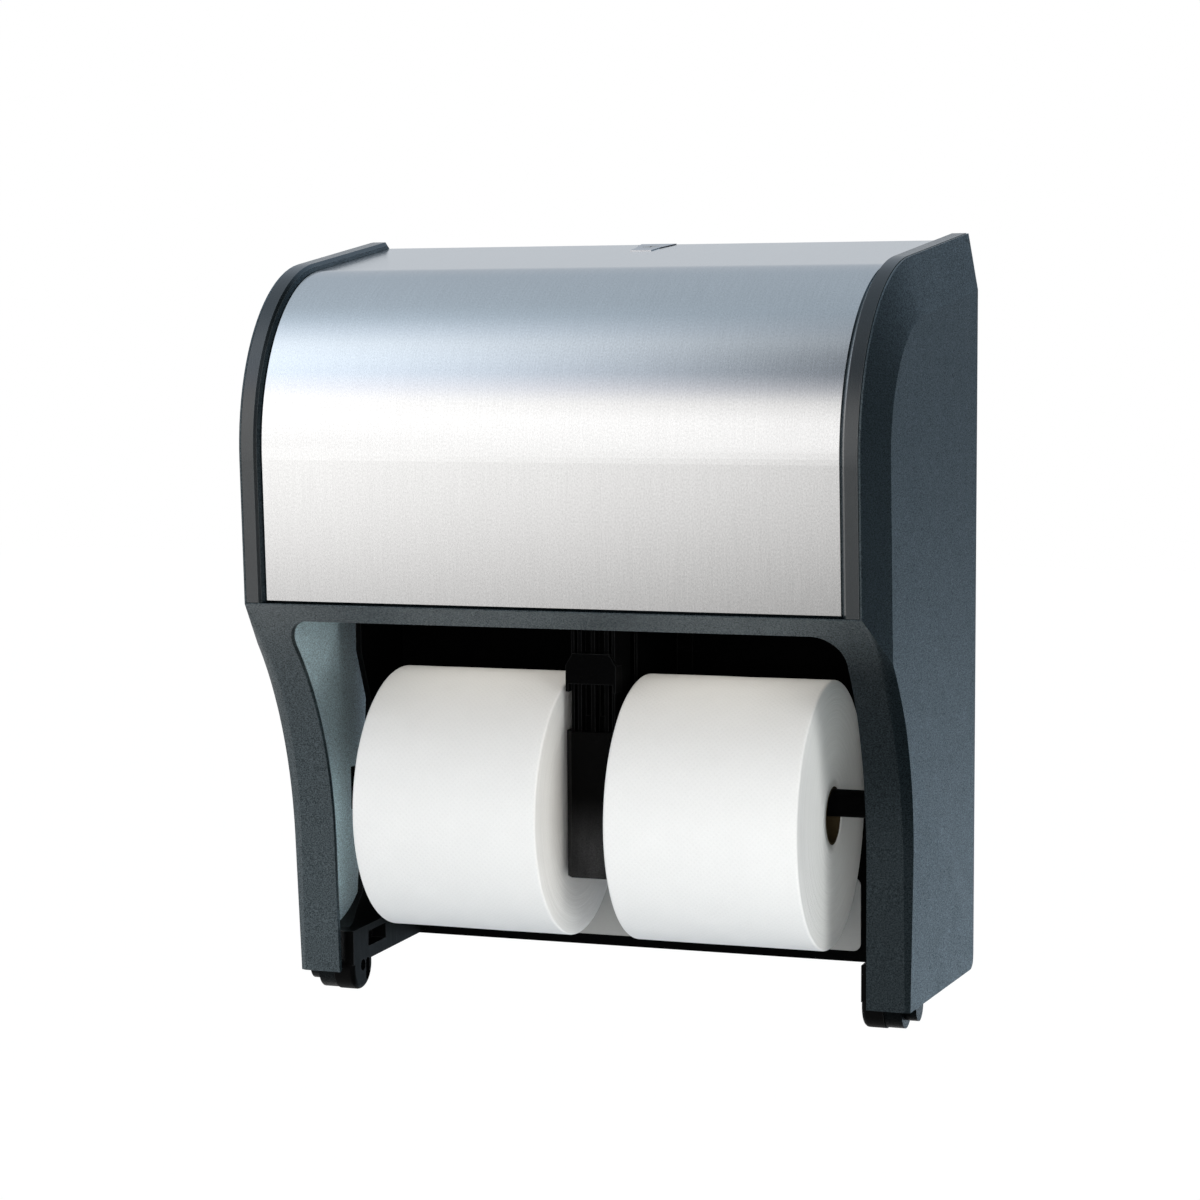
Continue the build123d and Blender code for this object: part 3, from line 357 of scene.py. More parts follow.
def smoke_plastic():
    """Grained smoke plastic, with painted light on the walls' inner faces for the light that comes through,
    painted shade on the front of the right arm and painted highlights on up-facing faces.
    """
    settings = bpy.context.scene.dispenser_plastic
    material, tree, shader, coordinates = new_material("smoke_plastic")
    shader.inputs["Specular Tint"].default_value = (*settings.sheen_tint, 1)
    at = coordinates["Object"]
    turned, spot = parts_of(tree, coordinates["Normal"]), parts_of(tree, at)
    mottle = noise_at(tree, at, 0.014, detail=4)
    speckle = noise_at(tree, at, settings.grain_size, roughness=0.7, stretch=(1, 2, 1))
    # Painted highlight: up-facing faces reflect more strongly and more sharply
    top = step(tree, turned["Z"], 0.6, 0.97)
    # Below the arms, on the hinge knuckles, the plastic is much darker and less glossy
    knuckles = step(tree, spot["Z"], knuckle_top - 0.0015, knuckle_top, 0.12, 1.0)
    # Painted shade: the front of the right arm is darker and less glossy
    arm = product(
        tree, step(tree, spot["X"], 0.09, 0.14), step(tree, spot["Z"], arm_top, arm_top - 0.035),
        step(tree, turned["Y"], -0.4, -0.65), step(tree, spot["Z"], 0.075, 0.125, 0.7, 1.0),
    )
    # Painted light on the walls' inner faces
    tone = blend_colours(tree, inner_walls(tree, turned, spot), settings.smoke, settings.inside_painted_light)
    tone = shade(
        tree, tone, spread(tree, mottle, 0.88, 1.12), contrast(tree, speckle, 0.55, 1.45), knuckles,
        fade(tree, arm, 0.4),
    )
    sheen = product(
        tree, contrast(tree, speckle, 0.4, 1.6), knuckles, fade(tree, arm, 0.76), fade(tree, top, -1.2),
        settings.sheen,
    )
    rough = math_node(tree, "ADD", spread(tree, mottle, 0.38, 0.46), contrast(tree, speckle, 0.1, -0.1))
    connect(
        tree, shader, colour=tone, roughness=math_node(tree, "MULTIPLY_ADD", top, -0.2, rough),
        specular=sheen, normal=bumps(tree, (speckle, settings.grain_depth)),
    )
    return material


def strip_plastic():
    """Smoother smoke plastic of the strips on the rim, with painted highlights: stronger reflections on
    up-facing faces and a lighter line along the edges.
    """
    settings = bpy.context.scene.dispenser_plastic
    material, tree, shader, coordinates = new_material("strip_plastic", specular_ior_level=1.0)
    at = coordinates["Object"]
    mottle = noise_at(tree, at, 0.02, detail=3)
    grain = noise_at(tree, at, settings.grain_size * 0.8)
    scratch = noise_at(tree, at, 0.0005, stretch=(1, 30, 30))
    # Painted highlight: up-facing faces reflect more strongly
    top = parts_of(tree, coordinates["Normal"])["Z"]
    # Painted highlight: a lighter line along the edges
    edge_glint = product(tree, edge_highlight_mask(tree, edge_highlight_radius), settings.edge_highlight_share)
    tone = shade(tree, settings.strip, spread(tree, mottle, 0.85, 1.15))
    connect(
        tree, shader, colour=blend_colours(tree, edge_glint, tone, (0.9, 1.0, 1.0)),
        roughness=spread(tree, scratch, 0.16, 0.24), specular=step(tree, top, 0.9, 0.985, 1.0, 2.6),
        normal=bumps(tree, (grain, settings.grain_depth * 0.3)),
    )
    return material


def chassis_plastic(name, sheen):
    """Black grained plastic of the chassis, rubbed, with a painted highlight along its edges, and greyer
    towards the wall.
    """
    settings = bpy.context.scene.dispenser_plastic
    material, tree, shader, coordinates = new_material(name, specular_ior_level=sheen)
    at = coordinates["Object"]
    patches = noise_at(tree, at, 0.03, detail=5)
    grain = noise_at(tree, at, settings.grain_size, detail=3)
    rub = noise_at(tree, at, 0.0012, detail=3, stretch=(1, 1, 14))
    rear = step(tree, parts_of(tree, coordinates["Normal"])["Y"], 0.5, 0.9)
    # Painted highlight: a lighter line along the edges
    edge_glint = product(tree, edge_highlight_mask(tree, edge_highlight_radius), settings.edge_highlight_share)
    tone = shade(
        tree, settings.chassis, spread(tree, patches, 0.75, 1.35), contrast(tree, grain, 0.7, 1.3)
    )
    tone = blend_colours(tree, rear, tone, (0.012, 0.0125, 0.013))
    tone = blend_colours(tree, edge_glint, tone, (0.35, 0.36, 0.37))
    connect(
        tree, shader, colour=tone, roughness=spread(tree, rub, 0.42, 0.6),
        normal=bumps(tree, (grain, settings.grain_depth * 0.5)),
    )
    return material


def box_plastic():
    """Black plastic of the box round the post, lighter towards its foot with a painted reflection."""
    settings = bpy.context.scene.dispenser_plastic
    material, tree, shader, coordinates = new_material("box_plastic", specular_ior_level=0.03)
    at = coordinates["Object"]
    low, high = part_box("post_cover")
    cloud = noise_at(tree, at, 0.012, detail=3, stretch=(1, 1, 4))
    grain = noise_at(tree, at, settings.grain_size, detail=3)
    # Painted reflection: lighter in soft upright streaks towards the box's foot
    painted_reflection = product(
        tree, step(tree, parts_of(tree, at)["Z"], low.z + 0.042, low.z + 0.008, 0.0, 0.026),
        contrast(tree, cloud, 0.5, 1.5),
    )
    level = math_node(tree, "ADD", painted_reflection, settings.chassis[0])
    connect(
        tree, shader, colour=shade(tree, (1.0, 1.0, 1.03), level, contrast(tree, grain, 0.75, 1.25)),
        roughness=spread(tree, cloud, 0.35, 0.5), normal=bumps(tree, (grain, settings.grain_depth * 0.5)),
    )
    return material


def brushed_panel():
    """Stainless sheet brushed along its curve, on a UV map in metres whose V follows the curve."""
    settings = bpy.context.scene.dispenser_steel
    material, tree, shader, coordinates = new_material(
        "brushed_panel", metallic=1.0, anisotropic=settings.brush_pull
    )
    at = coordinates["UV"]
    width, rough = settings.brush_width, settings.panel_roughness
    length = settings.brush_length / width
    fine = noise_at(tree, at, width, roughness=0.6, stretch=(1, length, 1))
    short = noise_at(tree, at, width * 1.6, stretch=(1, length / 6, 1))
    medium = noise_at(tree, at, width * 3, detail=3, stretch=(1, length / 4, 1))
    broad = noise_at(tree, at, width * 16, stretch=(1, 14, 1))
    cloud = noise_at(tree, at, 0.05, detail=3, stretch=(1, 1.5, 1))
    speckle = noise_at(tree, at, width * 2, roughness=0.7, stretch=(1, 1.6, 1))
    lines = math_node(tree, "ADD", product(tree, fine, 0.6), product(tree, short, 0.4))
    tone = shade(
        tree, settings.panel, spread(tree, lines, 0.87, 1.12), spread(tree, broad, 0.98, 1.02),
        spread(tree, medium, 0.96, 1.04), contrast(tree, speckle, 0.91, 1.09),
        spread(tree, cloud, 0.985, 1.015),
    )
    across = add_node(tree, "ShaderNodeTangent", direction_type="UV_MAP", uv_map="brushing")
    connect(
        tree, shader, colour=tone, roughness=spread(tree, lines, rough - 0.03, rough + 0.04),
        normal=bumps(tree, (lines, 0.000006)), tangent=across.outputs[0],
    )
    return material


def tissue_side():
    """Embossed tissue on a roll's outside, on a UV map in metres."""
    settings = bpy.context.scene.dispenser_rolls
    material, tree, shader, coordinates = new_material(
        "tissue_side", roughness=0.92, specular_ior_level=0.15, sheen_weight=0.08, sheen_roughness=0.6
    )
    at = coordinates["UV"]
    rows = 1 / settings.emboss_pitch
    mapping = add_node(
        tree, "ShaderNodeMapping", {"Vector": at, "Scale": (rows, rows, 1), "Rotation": (0, 0, pi / 4)}
    )
    cells = add_node(
        tree, "ShaderNodeTexVoronoi", {"Vector": mapping.outputs[0], "Scale": 1.0, "Randomness": 0.18},
        feature="F1", voronoi_dimensions="2D",
    )
    dots = step(tree, cells.outputs["Distance"], 0.12, 0.42)
    fibre = noise_at(tree, at, 0.0006, detail=4, roughness=0.7)
    wander = noise_at(tree, at, 0.02, detail=3)
    tone = shade(
        tree, settings.paper, spread(tree, wander, 0.98, 1.015), spread(tree, dots, 0.985, 1.005),
        contrast(tree, fibre, 0.97, 1.03),
    )
    normal = bumps(tree, (fibre, 0.00009), (dots, 0.00004), (wander, 0.0004))
    connect(tree, shader, colour=tone, normal=normal)
    return material


def tissue_end():
    """Edges of the wound sheet on a roll's end faces, on a UV map whose V is the radius in metres."""
    settings = bpy.context.scene.dispenser_rolls
    material, tree, shader, coordinates = new_material("tissue_end", roughness=0.95, specular_ior_level=0.1)
    at = coordinates["UV"]
    turns = noise_at(tree, at, 0.0003, detail=3, roughness=0.7, stretch=(90, 1, 1))
    bands = noise_at(tree, at, 0.0022, detail=3, stretch=(30, 1, 1))
    nap = noise_at(tree, at, 0.0005, detail=3)
    tone = shade(tree, settings.paper, spread(tree, turns, 0.84, 1.03), spread(tree, bands, 0.93, 1.03))
    normal = bumps(tree, (turns, 0.00018), (bands, 0.0003), (nap, 0.0001))
    connect(tree, shader, colour=tone, normal=normal)
    return material


def core_board():
    """Grey-brown board of the cores, with fibres and the spiral joint of its wound strip."""
    settings = bpy.context.scene.dispenser_rolls
    material, tree, shader, coordinates = new_material("core_board", roughness=0.85, specular_ior_level=0.2)
    at = coordinates["Object"]
    fibre = noise_at(tree, at, 0.0006, detail=4, stretch=(5, 1, 1))
    cloud = noise_at(tree, at, 0.012, detail=3)
    spot = parts_of(tree, at)
    slant = math_node(tree, "MULTIPLY_ADD", spot["Z"], 0.6, spot["X"])
    joint = math_node(tree, "PINGPONG", slant, 0.022)
    tone = shade(
        tree, settings.board, spread(tree, fibre, 0.7, 1.3), spread(tree, cloud, 0.85, 1.15),
        remap(tree, joint, 0.0, 0.0007, 0.55, 1.0),
    )
    connect(tree, shader, colour=tone, normal=bumps(tree, (fibre, 0.0001)))
    return material


def plain_metal(name, colour, roughness, grain):
    """Plated or turned metal with a fine grain and faint stains."""
    material, tree, shader, coordinates = new_material(name, metallic=1.0)
    fine = noise_at(tree, coordinates["Object"], grain, detail=3)
    stain = noise_at(tree, coordinates["Object"], grain * 12, detail=4)
    tone = shade(tree, colour, spread(tree, stain, 0.82, 1.1), spread(tree, fine, 0.92, 1.06))
    rough = spread(tree, stain, roughness - 0.08, roughness + 0.1)
    connect(tree, shader, colour=tone, roughness=rough, normal=bumps(tree, (fine, grain * 0.05)))
    return material


def painted_plate(name, colour, roughness):
    """Plain coated plate with a faint orange peel and a little soiling."""
    material, tree, shader, coordinates = new_material(name, specular_ior_level=0.5)
    peel = noise_at(tree, coordinates["Object"], 0.0009)
    soil = noise_at(tree, coordinates["Object"], 0.012, detail=5, roughness=0.65)
    tone = shade(tree, colour, spread(tree, soil, 0.93, 1.05), spread(tree, peel, 0.96, 1.03))
    rough = spread(tree, soil, roughness - 0.06, roughness + 0.08)
    connect(tree, shader, colour=tone, roughness=rough, normal=bumps(tree, (peel, 0.00003)))
    return material


# Helpers for pieces


def paint(node, material):
    """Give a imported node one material."""
    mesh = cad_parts[node].data
    if not mesh.materials:
        mesh.materials.append(material)
    for i in range(len(mesh.materials)):
        mesh.materials[i] = material


def both(name):
    """A left and right pair of node names."""
    return [f"{name}_{side}" for side in sides]


def every_roll(name):
    """One node name for each of the four rolls."""
    return [f"{name}_{level}_{side}" for level in levels for side in sides]


def new_object(name, mesh):
    """A new object at the origin that shows a mesh."""
    made = bpy.data.objects.new(name, mesh)
    bpy.context.scene.collection.objects.link(made)
    return made


def mesh_from(made, name):
    """A new mesh with the faces of a bmesh, which is freed."""
    mesh = bpy.data.meshes.new(name)
    made.to_mesh(mesh)
    made.free()
    return mesh


def new_tree(name, sizes):
    """A Geometry Nodes tree with a geometry input, named size inputs and a geometry output."""
    tree = bpy.data.node_groups.new(name, "GeometryNodeTree")
    tree.interface.new_socket("Geometry", in_out="INPUT", socket_type="NodeSocketGeometry")
    for label, kind in sizes.items():
        tree.interface.new_socket(label, in_out="INPUT", socket_type=f"NodeSocket{kind}")
    tree.interface.new_socket("Geometry", in_out="OUTPUT", socket_type="NodeSocketGeometry")
    return tree, add_node(tree, "NodeGroupInput").outputs, add_node(tree, "NodeGroupOutput")


def finish_tree(tree, output, geometry, material):
    """End a tree in Realize Instances and Set Material."""
    real = add_node(tree, "GeometryNodeRealizeInstances", {"Geometry": geometry})
    coated = add_node(tree, "GeometryNodeSetMaterial", {"Geometry": real.outputs[0], "Material": material})
    tree.links.new(coated.outputs[0], output.inputs[0])


def socket_named(tree, name):
    """The identifier of a tree's input with this name."""
    for item in tree.interface.items_tree:
        if item.item_type == "SOCKET" and item.in_out == "INPUT" and item.name == name:
            return item.identifier
    raise RuntimeError(f"no input called {name}")


def plain_mesh(name, points, tree, values):
    """Run a tree on a mesh of bare points and keep the result as a plain mesh object."""
    carrier = bpy.data.meshes.new(f"{name}_points")
    carrier.from_pydata(points, [], [])
    holder = new_object(f"{name}_carrier", carrier)
    modifier = holder.modifiers.new("nodes", "NODES")
    modifier.node_group = tree
    for label, value in values.items():
        modifier[socket_named(tree, label)] = value
    holder.update_tag()
    shown = holder.evaluated_get(bpy.context.evaluated_depsgraph_get())
    mesh = bpy.data.meshes.new_from_object(shown)
    bpy.data.objects.remove(holder)
    mesh.name = name
    if not mesh.polygons:
        raise RuntimeError(f"{name} came out empty")
    return new_object(name, mesh)


# Pieces


class DISPENSER_OT_cover(bpy.types.Operator):
    """Finish the smoke plastic cover, its rim strips and its brushed panel"""

    bl_idname = "dispenser.cover"
    bl_label = "Cover"

    # How nearly a face must be square to the nose's radius to count as part of its round face
    squareness = 0.9992

    def round_normal(self, spot):
        """The direction from the axis of the panel's nose to a spot."""
        return Vector((0, spot.y - self.centre_y, spot.z - self.centre_z)).normalized()

    def along_curve(self, spot):
        """The distance along the panel's curve from the foot of its nose to a spot."""
        forward, up = self.centre_y - spot.y, spot.z - self.centre_z
        if up < 0:
            return up
        if forward < 0:
            return self.radius * pi / 2 - forward
        return self.radius * atan2(up, forward)

    def mapped_panel(self):
        """The panel's own mesh, merged, with a map that runs across it and along its curve."""
        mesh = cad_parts["steel_panel"].data.copy()
        mesh.name = "brushed_steel_panel"
        made = bmesh.new()
        made.from_mesh(mesh)
        bmesh.ops.remove_doubles(made, verts=made.verts, dist=0.000002)
        uv = made.loops.layers.uv.new("brushing")
        for face in made.faces:
            face.smooth = True
            for loop in face.loops:
                loop[uv].uv = (loop.vert.co.x, self.along_curve(loop.vert.co))
        made.to_mesh(mesh)
        made.free()
        normals = []
        for face in mesh.polygons:
            flat = face.normal.copy()
            square = flat.dot(self.round_normal(face.center))
            side = 1 if square > 0 else -1
            on_nose = face.center.z > self.centre_z and abs(square) > self.squareness
            for index in face.loop_indices:
                spot = mesh.vertices[mesh.loops[index].vertex_index].co
                normals.append(side * self.round_normal(spot) if on_nose else flat)
        mesh.normals_split_custom_set(normals)
        return mesh

    def execute(self, context):
        steel = context.scene.dispenser_steel
        low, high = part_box("steel_panel")
        self.radius = steel.nose_radius
        self.centre_y, self.centre_z = low.y + steel.nose_radius, steel.nose_height
        paint("cover_shell", smoke_plastic())
        strips = strip_plastic()
        for node in both("rim_strip"):
            paint(node, strips)
        panel = new_object("brushed_steel_panel", self.mapped_panel())
        panel.data.materials.clear()
        panel.data.materials.append(brushed_panel())
        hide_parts("steel_panel")
        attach(panel, "cover")
        return {"FINISHED"}


class DISPENSER_OT_chassis(bpy.types.Operator):
    """Finish the black plate, wings, post, slider, pawls, carriages and rods"""

    bl_idname = "dispenser.chassis"
    bl_label = "Chassis"

    def execute(self, context):
        outer, inner = chassis_plastic("chassis_plastic", 0.06), chassis_plastic("inner_plastic", 0.012)
        for node in both("wing"):
            paint(node, outer)
        paint("post_cover", box_plastic())
        nodes = ["back_plate", "centre_post", "release_slider", "lock_housing"]
        for node in nodes + both("pawl") + every_roll("carriage") + every_roll("roll_rod"):
            paint(node, inner)
        return {"FINISHED"}


class DISPENSER_OT_fittings(bpy.types.Operator):
    """Finish the pins, clips, lock and blank plate"""

    bl_idname = "dispenser.fittings"
    bl_label = "Fittings"

    def execute(self, context):
        fittings = context.scene.dispenser_fittings
        zinc = plain_metal("zinc_plate", context.scene.dispenser_steel.zinc, 0.34, 0.0004)
        for node in ("hinge_pins", "pawl_pins", "panel_clips", "lock_cam", "cam_screw", "lock_strike"):
            paint(node, zinc)
        paint("lock_barrel", plain_metal("lock_metal", (0.62, 0.61, 0.58), 0.26, 0.0003))
        paint("lock_tongue", plain_metal("lock_plate", fittings.tongue, 0.26, 0.0003))
        paint("blank_plate", painted_plate("blank_plate", fittings.plate, 0.46))
        return {"FINISHED"}


class DISPENSER_OT_rolls(bpy.types.Operator):
    """Wind the four paper rolls and finish their cores"""

    bl_idname = "dispenser.rolls"
    bl_label = "Paper rolls"

    around = 288
    face_points, shoulder_points, edge_points, body_points = 9, 5, 8, 23
    shoulder_width = 0.0105
    tail_angle = radians(35)

    def profile(self, radius, bore, soft, dish, half):
        """Points (radius, x) round a roll's section: flat ends, dished shoulders, soft edges and the side."""
        flat_end = radius - self.shoulder_width
        shoulder = radius - soft - flat_end
        points = [
            (bore + (flat_end - bore) * i / self.face_points, -half) for i in range(self.face_points + 1)
        ]
        for i in range(1, self.shoulder_points + 1):
            share = i / self.shoulder_points
            points.append((flat_end + shoulder * share, -half + dish * share ** 1.5))
        for i in range(1, self.edge_points + 1):
            turn = pi / 2 * i / self.edge_points
            points.append((radius - soft * (1 - sin(turn)), -half + dish + soft * (1 - cos(turn))))
        reach = half - dish - soft
        body = [
            (radius, -reach + 2 * reach * i / (self.body_points + 1)) for i in range(1, self.body_points + 1)
        ]
        return points + body + [(r, -x) for r, x in reversed(points)]

    def wound_mesh(self, name, centre, half, radius, bore, seed, settings):
        """A closed roll about the X axis through centre, its tail's end at the back."""
        section = self.profile(radius, bore, settings.edge_softness, settings.dish, half)
        made = bmesh.new()
        uv = made.loops.layers.uv.new("wound")
        rows = []
        for j in range(self.around):
            turn = j / self.around
            angle = tau * turn + self.tail_angle
            row = []
            for r, x in section:
                reach = (r - bore) / (radius - bore)
                spot = Vector((x * 18, cos(angle) * 1.7, sin(angle) * 1.7)) + Vector((seed * 7.3, 0, 0))
                wander = settings.unevenness * (0.5 - abs(noise.noise(spot))) * reach
                on_end = 1 - min(1, (half - abs(x)) / 0.004)
                ruffle = 0.0004 * noise.noise(Vector((r * 260, seed, cos(angle) * 0.5))) * reach * on_end
                out = r - settings.tail_step * turn * reach - abs(wander)
                inward = (abs(ruffle) + 0.0001) * on_end
                place = (x - inward if x > 0 else x + inward, out * cos(angle), out * sin(angle))
                row.append(made.verts.new(centre + Vector(place)))
            rows.append(row)
        count = len(section)
        # The side's finish reaches a little way over the soft edges
        first_side = self.face_points + self.shoulder_points + self.edge_points - 5
        for j in range(self.around):
            ahead = (j + 1) % self.around
            for i in range(count):
                after = (i + 1) % count
                face = made.faces.new((rows[j][i], rows[j][after], rows[ahead][after], rows[ahead][i]))
                on_side = first_side <= i < count - first_side - 1
                face.material_index = 0 if on_side else 1
                face.smooth = True
                corners = ((j, i), (j, i + 1), (j + 1, i + 1), (j + 1, i))
                for loop, (ring, point) in zip(face.loops, corners):
                    r, x = section[point % count]
                    along = ring / self.around * tau * radius
                    loop[uv].uv = (along, x) if on_side else (along * 0.6, r + seed * 0.1)
        bmesh.ops.recalc_face_normals(made, faces=made.faces)
        return mesh_from(made, name)

    def execute(self, context):
        side, end, board = tissue_side(), tissue_end(), core_board()
        for seed, name in enumerate(every_roll("roll"), 1):
            paper, core = f"paper_{name}", name.replace("roll", "roll_core")
            low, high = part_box(paper)
            core_low, core_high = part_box(core)
            mesh = self.wound_mesh(
                f"tissue_{name}", (low + high) / 2, (high.x - low.x) / 2, (high.z - low.z) / 2,
                (core_high.z - core_low.z) / 2, seed, context.scene.dispenser_rolls,
            )
            mesh.materials.append(side)
            mesh.materials.append(end)
            roll = new_object(mesh.name, mesh)
            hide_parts(paper)
            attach(roll, name)
            paint(core, board)
        return {"FINISHED"}


class DISPENSER_OT_return_spring(bpy.types.Operator):
    """Coil the release slider's return spring along a rising spiral"""

    bl_idname = "dispenser.return_spring"
    bl_label = "Return spring"

    def execute(self, context):
        settings = context.scene.dispenser_fittings
        low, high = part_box("return_spring")
        centre, wire = (low + high) / 2, settings.wire_radius
        tree, given, output = new_tree(
            "coiled_wire", {"Turns": "Float", "Radius": "Float", "Height": "Float", "Wire radius": "Float"}
        )
        coil = add_node(tree, "GeometryNodeCurveSpiral", {
            "Resolution": 20, "Rotations": given["Turns"], "Start Radius": given["Radius"],
            "End Radius": given["Radius"], "Height": given["Height"],
        })
        ring = add_node(
            tree, "GeometryNodeCurvePrimitiveCircle", {"Resolution": 8, "Radius": given["Wire radius"]}
        )
        swept = add_node(tree, "GeometryNodeCurveToMesh", {
            "Curve": coil.outputs[0], "Profile Curve": ring.outputs[0], "Fill Caps": True,
        })
        smooth = add_node(tree, "GeometryNodeSetShadeSmooth", {"Geometry": swept.outputs[0]})
        steel = plain_metal("spring_wire", (0.42, 0.42, 0.43), 0.3, 0.0003)
        finish_tree(tree, output, smooth.outputs[0], steel)
        spring = plain_mesh("coiled_return_spring", [(0, 0, 0)], tree, {
            "Turns": float(settings.spring_turns), "Radius": (high.x - low.x) / 2 - wire,
            "Height": high.z - low.z - 2 * wire, "Wire radius": wire,
        })
        spring.data.transform(Matrix.Translation((centre.x, centre.y, low.z + wire)))
        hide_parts("return_spring")
        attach(spring, "frame")
        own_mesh(spring)
        return {"FINISHED"}


class DISPENSER_OT_screws(bpy.types.Operator):
    """Set one cross-recess pan head screw on every screw place"""

    bl_idname = "dispenser.screws"
    bl_label = "Screws"

    # A screw's outline from its shank to the foot of its crown, as radius and height in head radii
    outline = (
        (0.34, -1.6), (0.5, -1.5), (0.5, 0.0), (1.0, 0.0), (1.0, 0.14), (0.93, 0.36), (0.72, 0.5), (0.4, 0.6)
    )
    crown = 0.6
    around = 24

    def head(self, radius, material):
        """One pan head with a cross recess and a short shank, its axis along Z."""
        made = bmesh.new()
        verts = []
        turns = [tau * j / self.around for j in range(self.around)]
        for r, z in self.outline:
            ring = [(radius * r * cos(turn), radius * r * sin(turn), radius * z) for turn in turns]
            verts.append([made.verts.new(spot) for spot in ring])
        for lower, upper in zip(verts, verts[1:]):
            for j in range(self.around):
                k = (j + 1) % self.around
                made.faces.new((lower[j], lower[k], upper[k], upper[j]))
        made.faces.new(list(reversed(verts[0])))
        # The cross: twelve points round the recess, sunk from the head's crown
        arm, waist, depth, height = radius * 0.34, radius * 0.1, radius * 0.34, radius * self.crown
        corners = []
        for quarter in range(4):
            turn = Matrix.Rotation(quarter * pi / 2, 3, "Z")
            for x, y in ((waist, waist), (waist, arm), (-waist, arm)):
                corners.append(turn @ Vector((x, y, 0)))
        crown = [made.verts.new((p.x, p.y, height)) for p in corners]
        sunk = [made.verts.new((p.x * 0.6, p.y * 0.6, height - depth)) for p in corners]
        for j in range(len(corners)):
            k = (j + 1) % len(corners)
            made.faces.new((crown[j], crown[k], sunk[k], sunk[j]))
        made.faces.new(sunk)
        rim = [e for e in made.edges if e.is_boundary]
        bmesh.ops.triangle_fill(made, edges=rim, use_beauty=True)
        bmesh.ops.recalc_face_normals(made, faces=made.faces)
        mesh = mesh_from(made, "screw_pattern")
        mesh.materials.append(material)
        return new_object("screw_pattern", mesh)

    def islands(self, node):
        """The lowest and highest corner of each separate screw of a node."""
        made = bmesh.new()
        made.from_mesh(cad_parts[node].data)
        bmesh.ops.remove_doubles(made, verts=made.verts, dist=0.00001)
        left, found = set(made.verts), []
        while left:
            group, queue = set(), [next(iter(left))]
            while queue:
                vertex = queue.pop()
                if vertex in group:
                    continue
                group.add(vertex)
                queue += [e.other_vert(vertex) for e in vertex.link_edges]
            left -= group
            found.append([Vector([pick(v.co[i] for v in group) for i in range(3)]) for pick in (min, max)])
        made.free()
        return found

    def execute(self, context):
        radius = context.scene.dispenser_fittings.head_radius
        zinc = plain_metal("screw_zinc", context.scene.dispenser_steel.zinc, 0.3, 0.0003)
        pattern = self.head(radius, zinc)
        nodes = ("wing_screws", "post_screws", "strike_screws")
        places = [
            ((low.x + high.x) / 2, low.y + radius * self.crown, (low.z + high.z) / 2)
            for node in nodes for low, high in self.islands(node)
        ]
        tree, given, output = new_tree("screws_on_points", {"Pattern": "Object", "Seed": "Int"})
        shape = add_node(
            tree, "GeometryNodeObjectInfo", {"Object": given["Pattern"]}, transform_space="ORIGINAL"
        )
        turn = add_node(tree, "FunctionNodeRandomValue", {
            "Seed": given["Seed"], "Min": (pi / 2, 0, 0), "Max": (pi / 2, pi, 0),
        }, data_type="FLOAT_VECTOR")
        set_on = add_node(tree, "GeometryNodeInstanceOnPoints", {
            "Points": given["Geometry"], "Instance": shape.outputs["Geometry"], "Rotation": turn.outputs[0],
        })
        finish_tree(tree, output, set_on.outputs[0], zinc)
        screws = plain_mesh("pan_head_screws", places, tree, {"Pattern": pattern, "Seed": 3})
        bpy.data.objects.remove(pattern)
        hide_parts(*nodes)
        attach(screws, "frame")
        return {"FINISHED"}


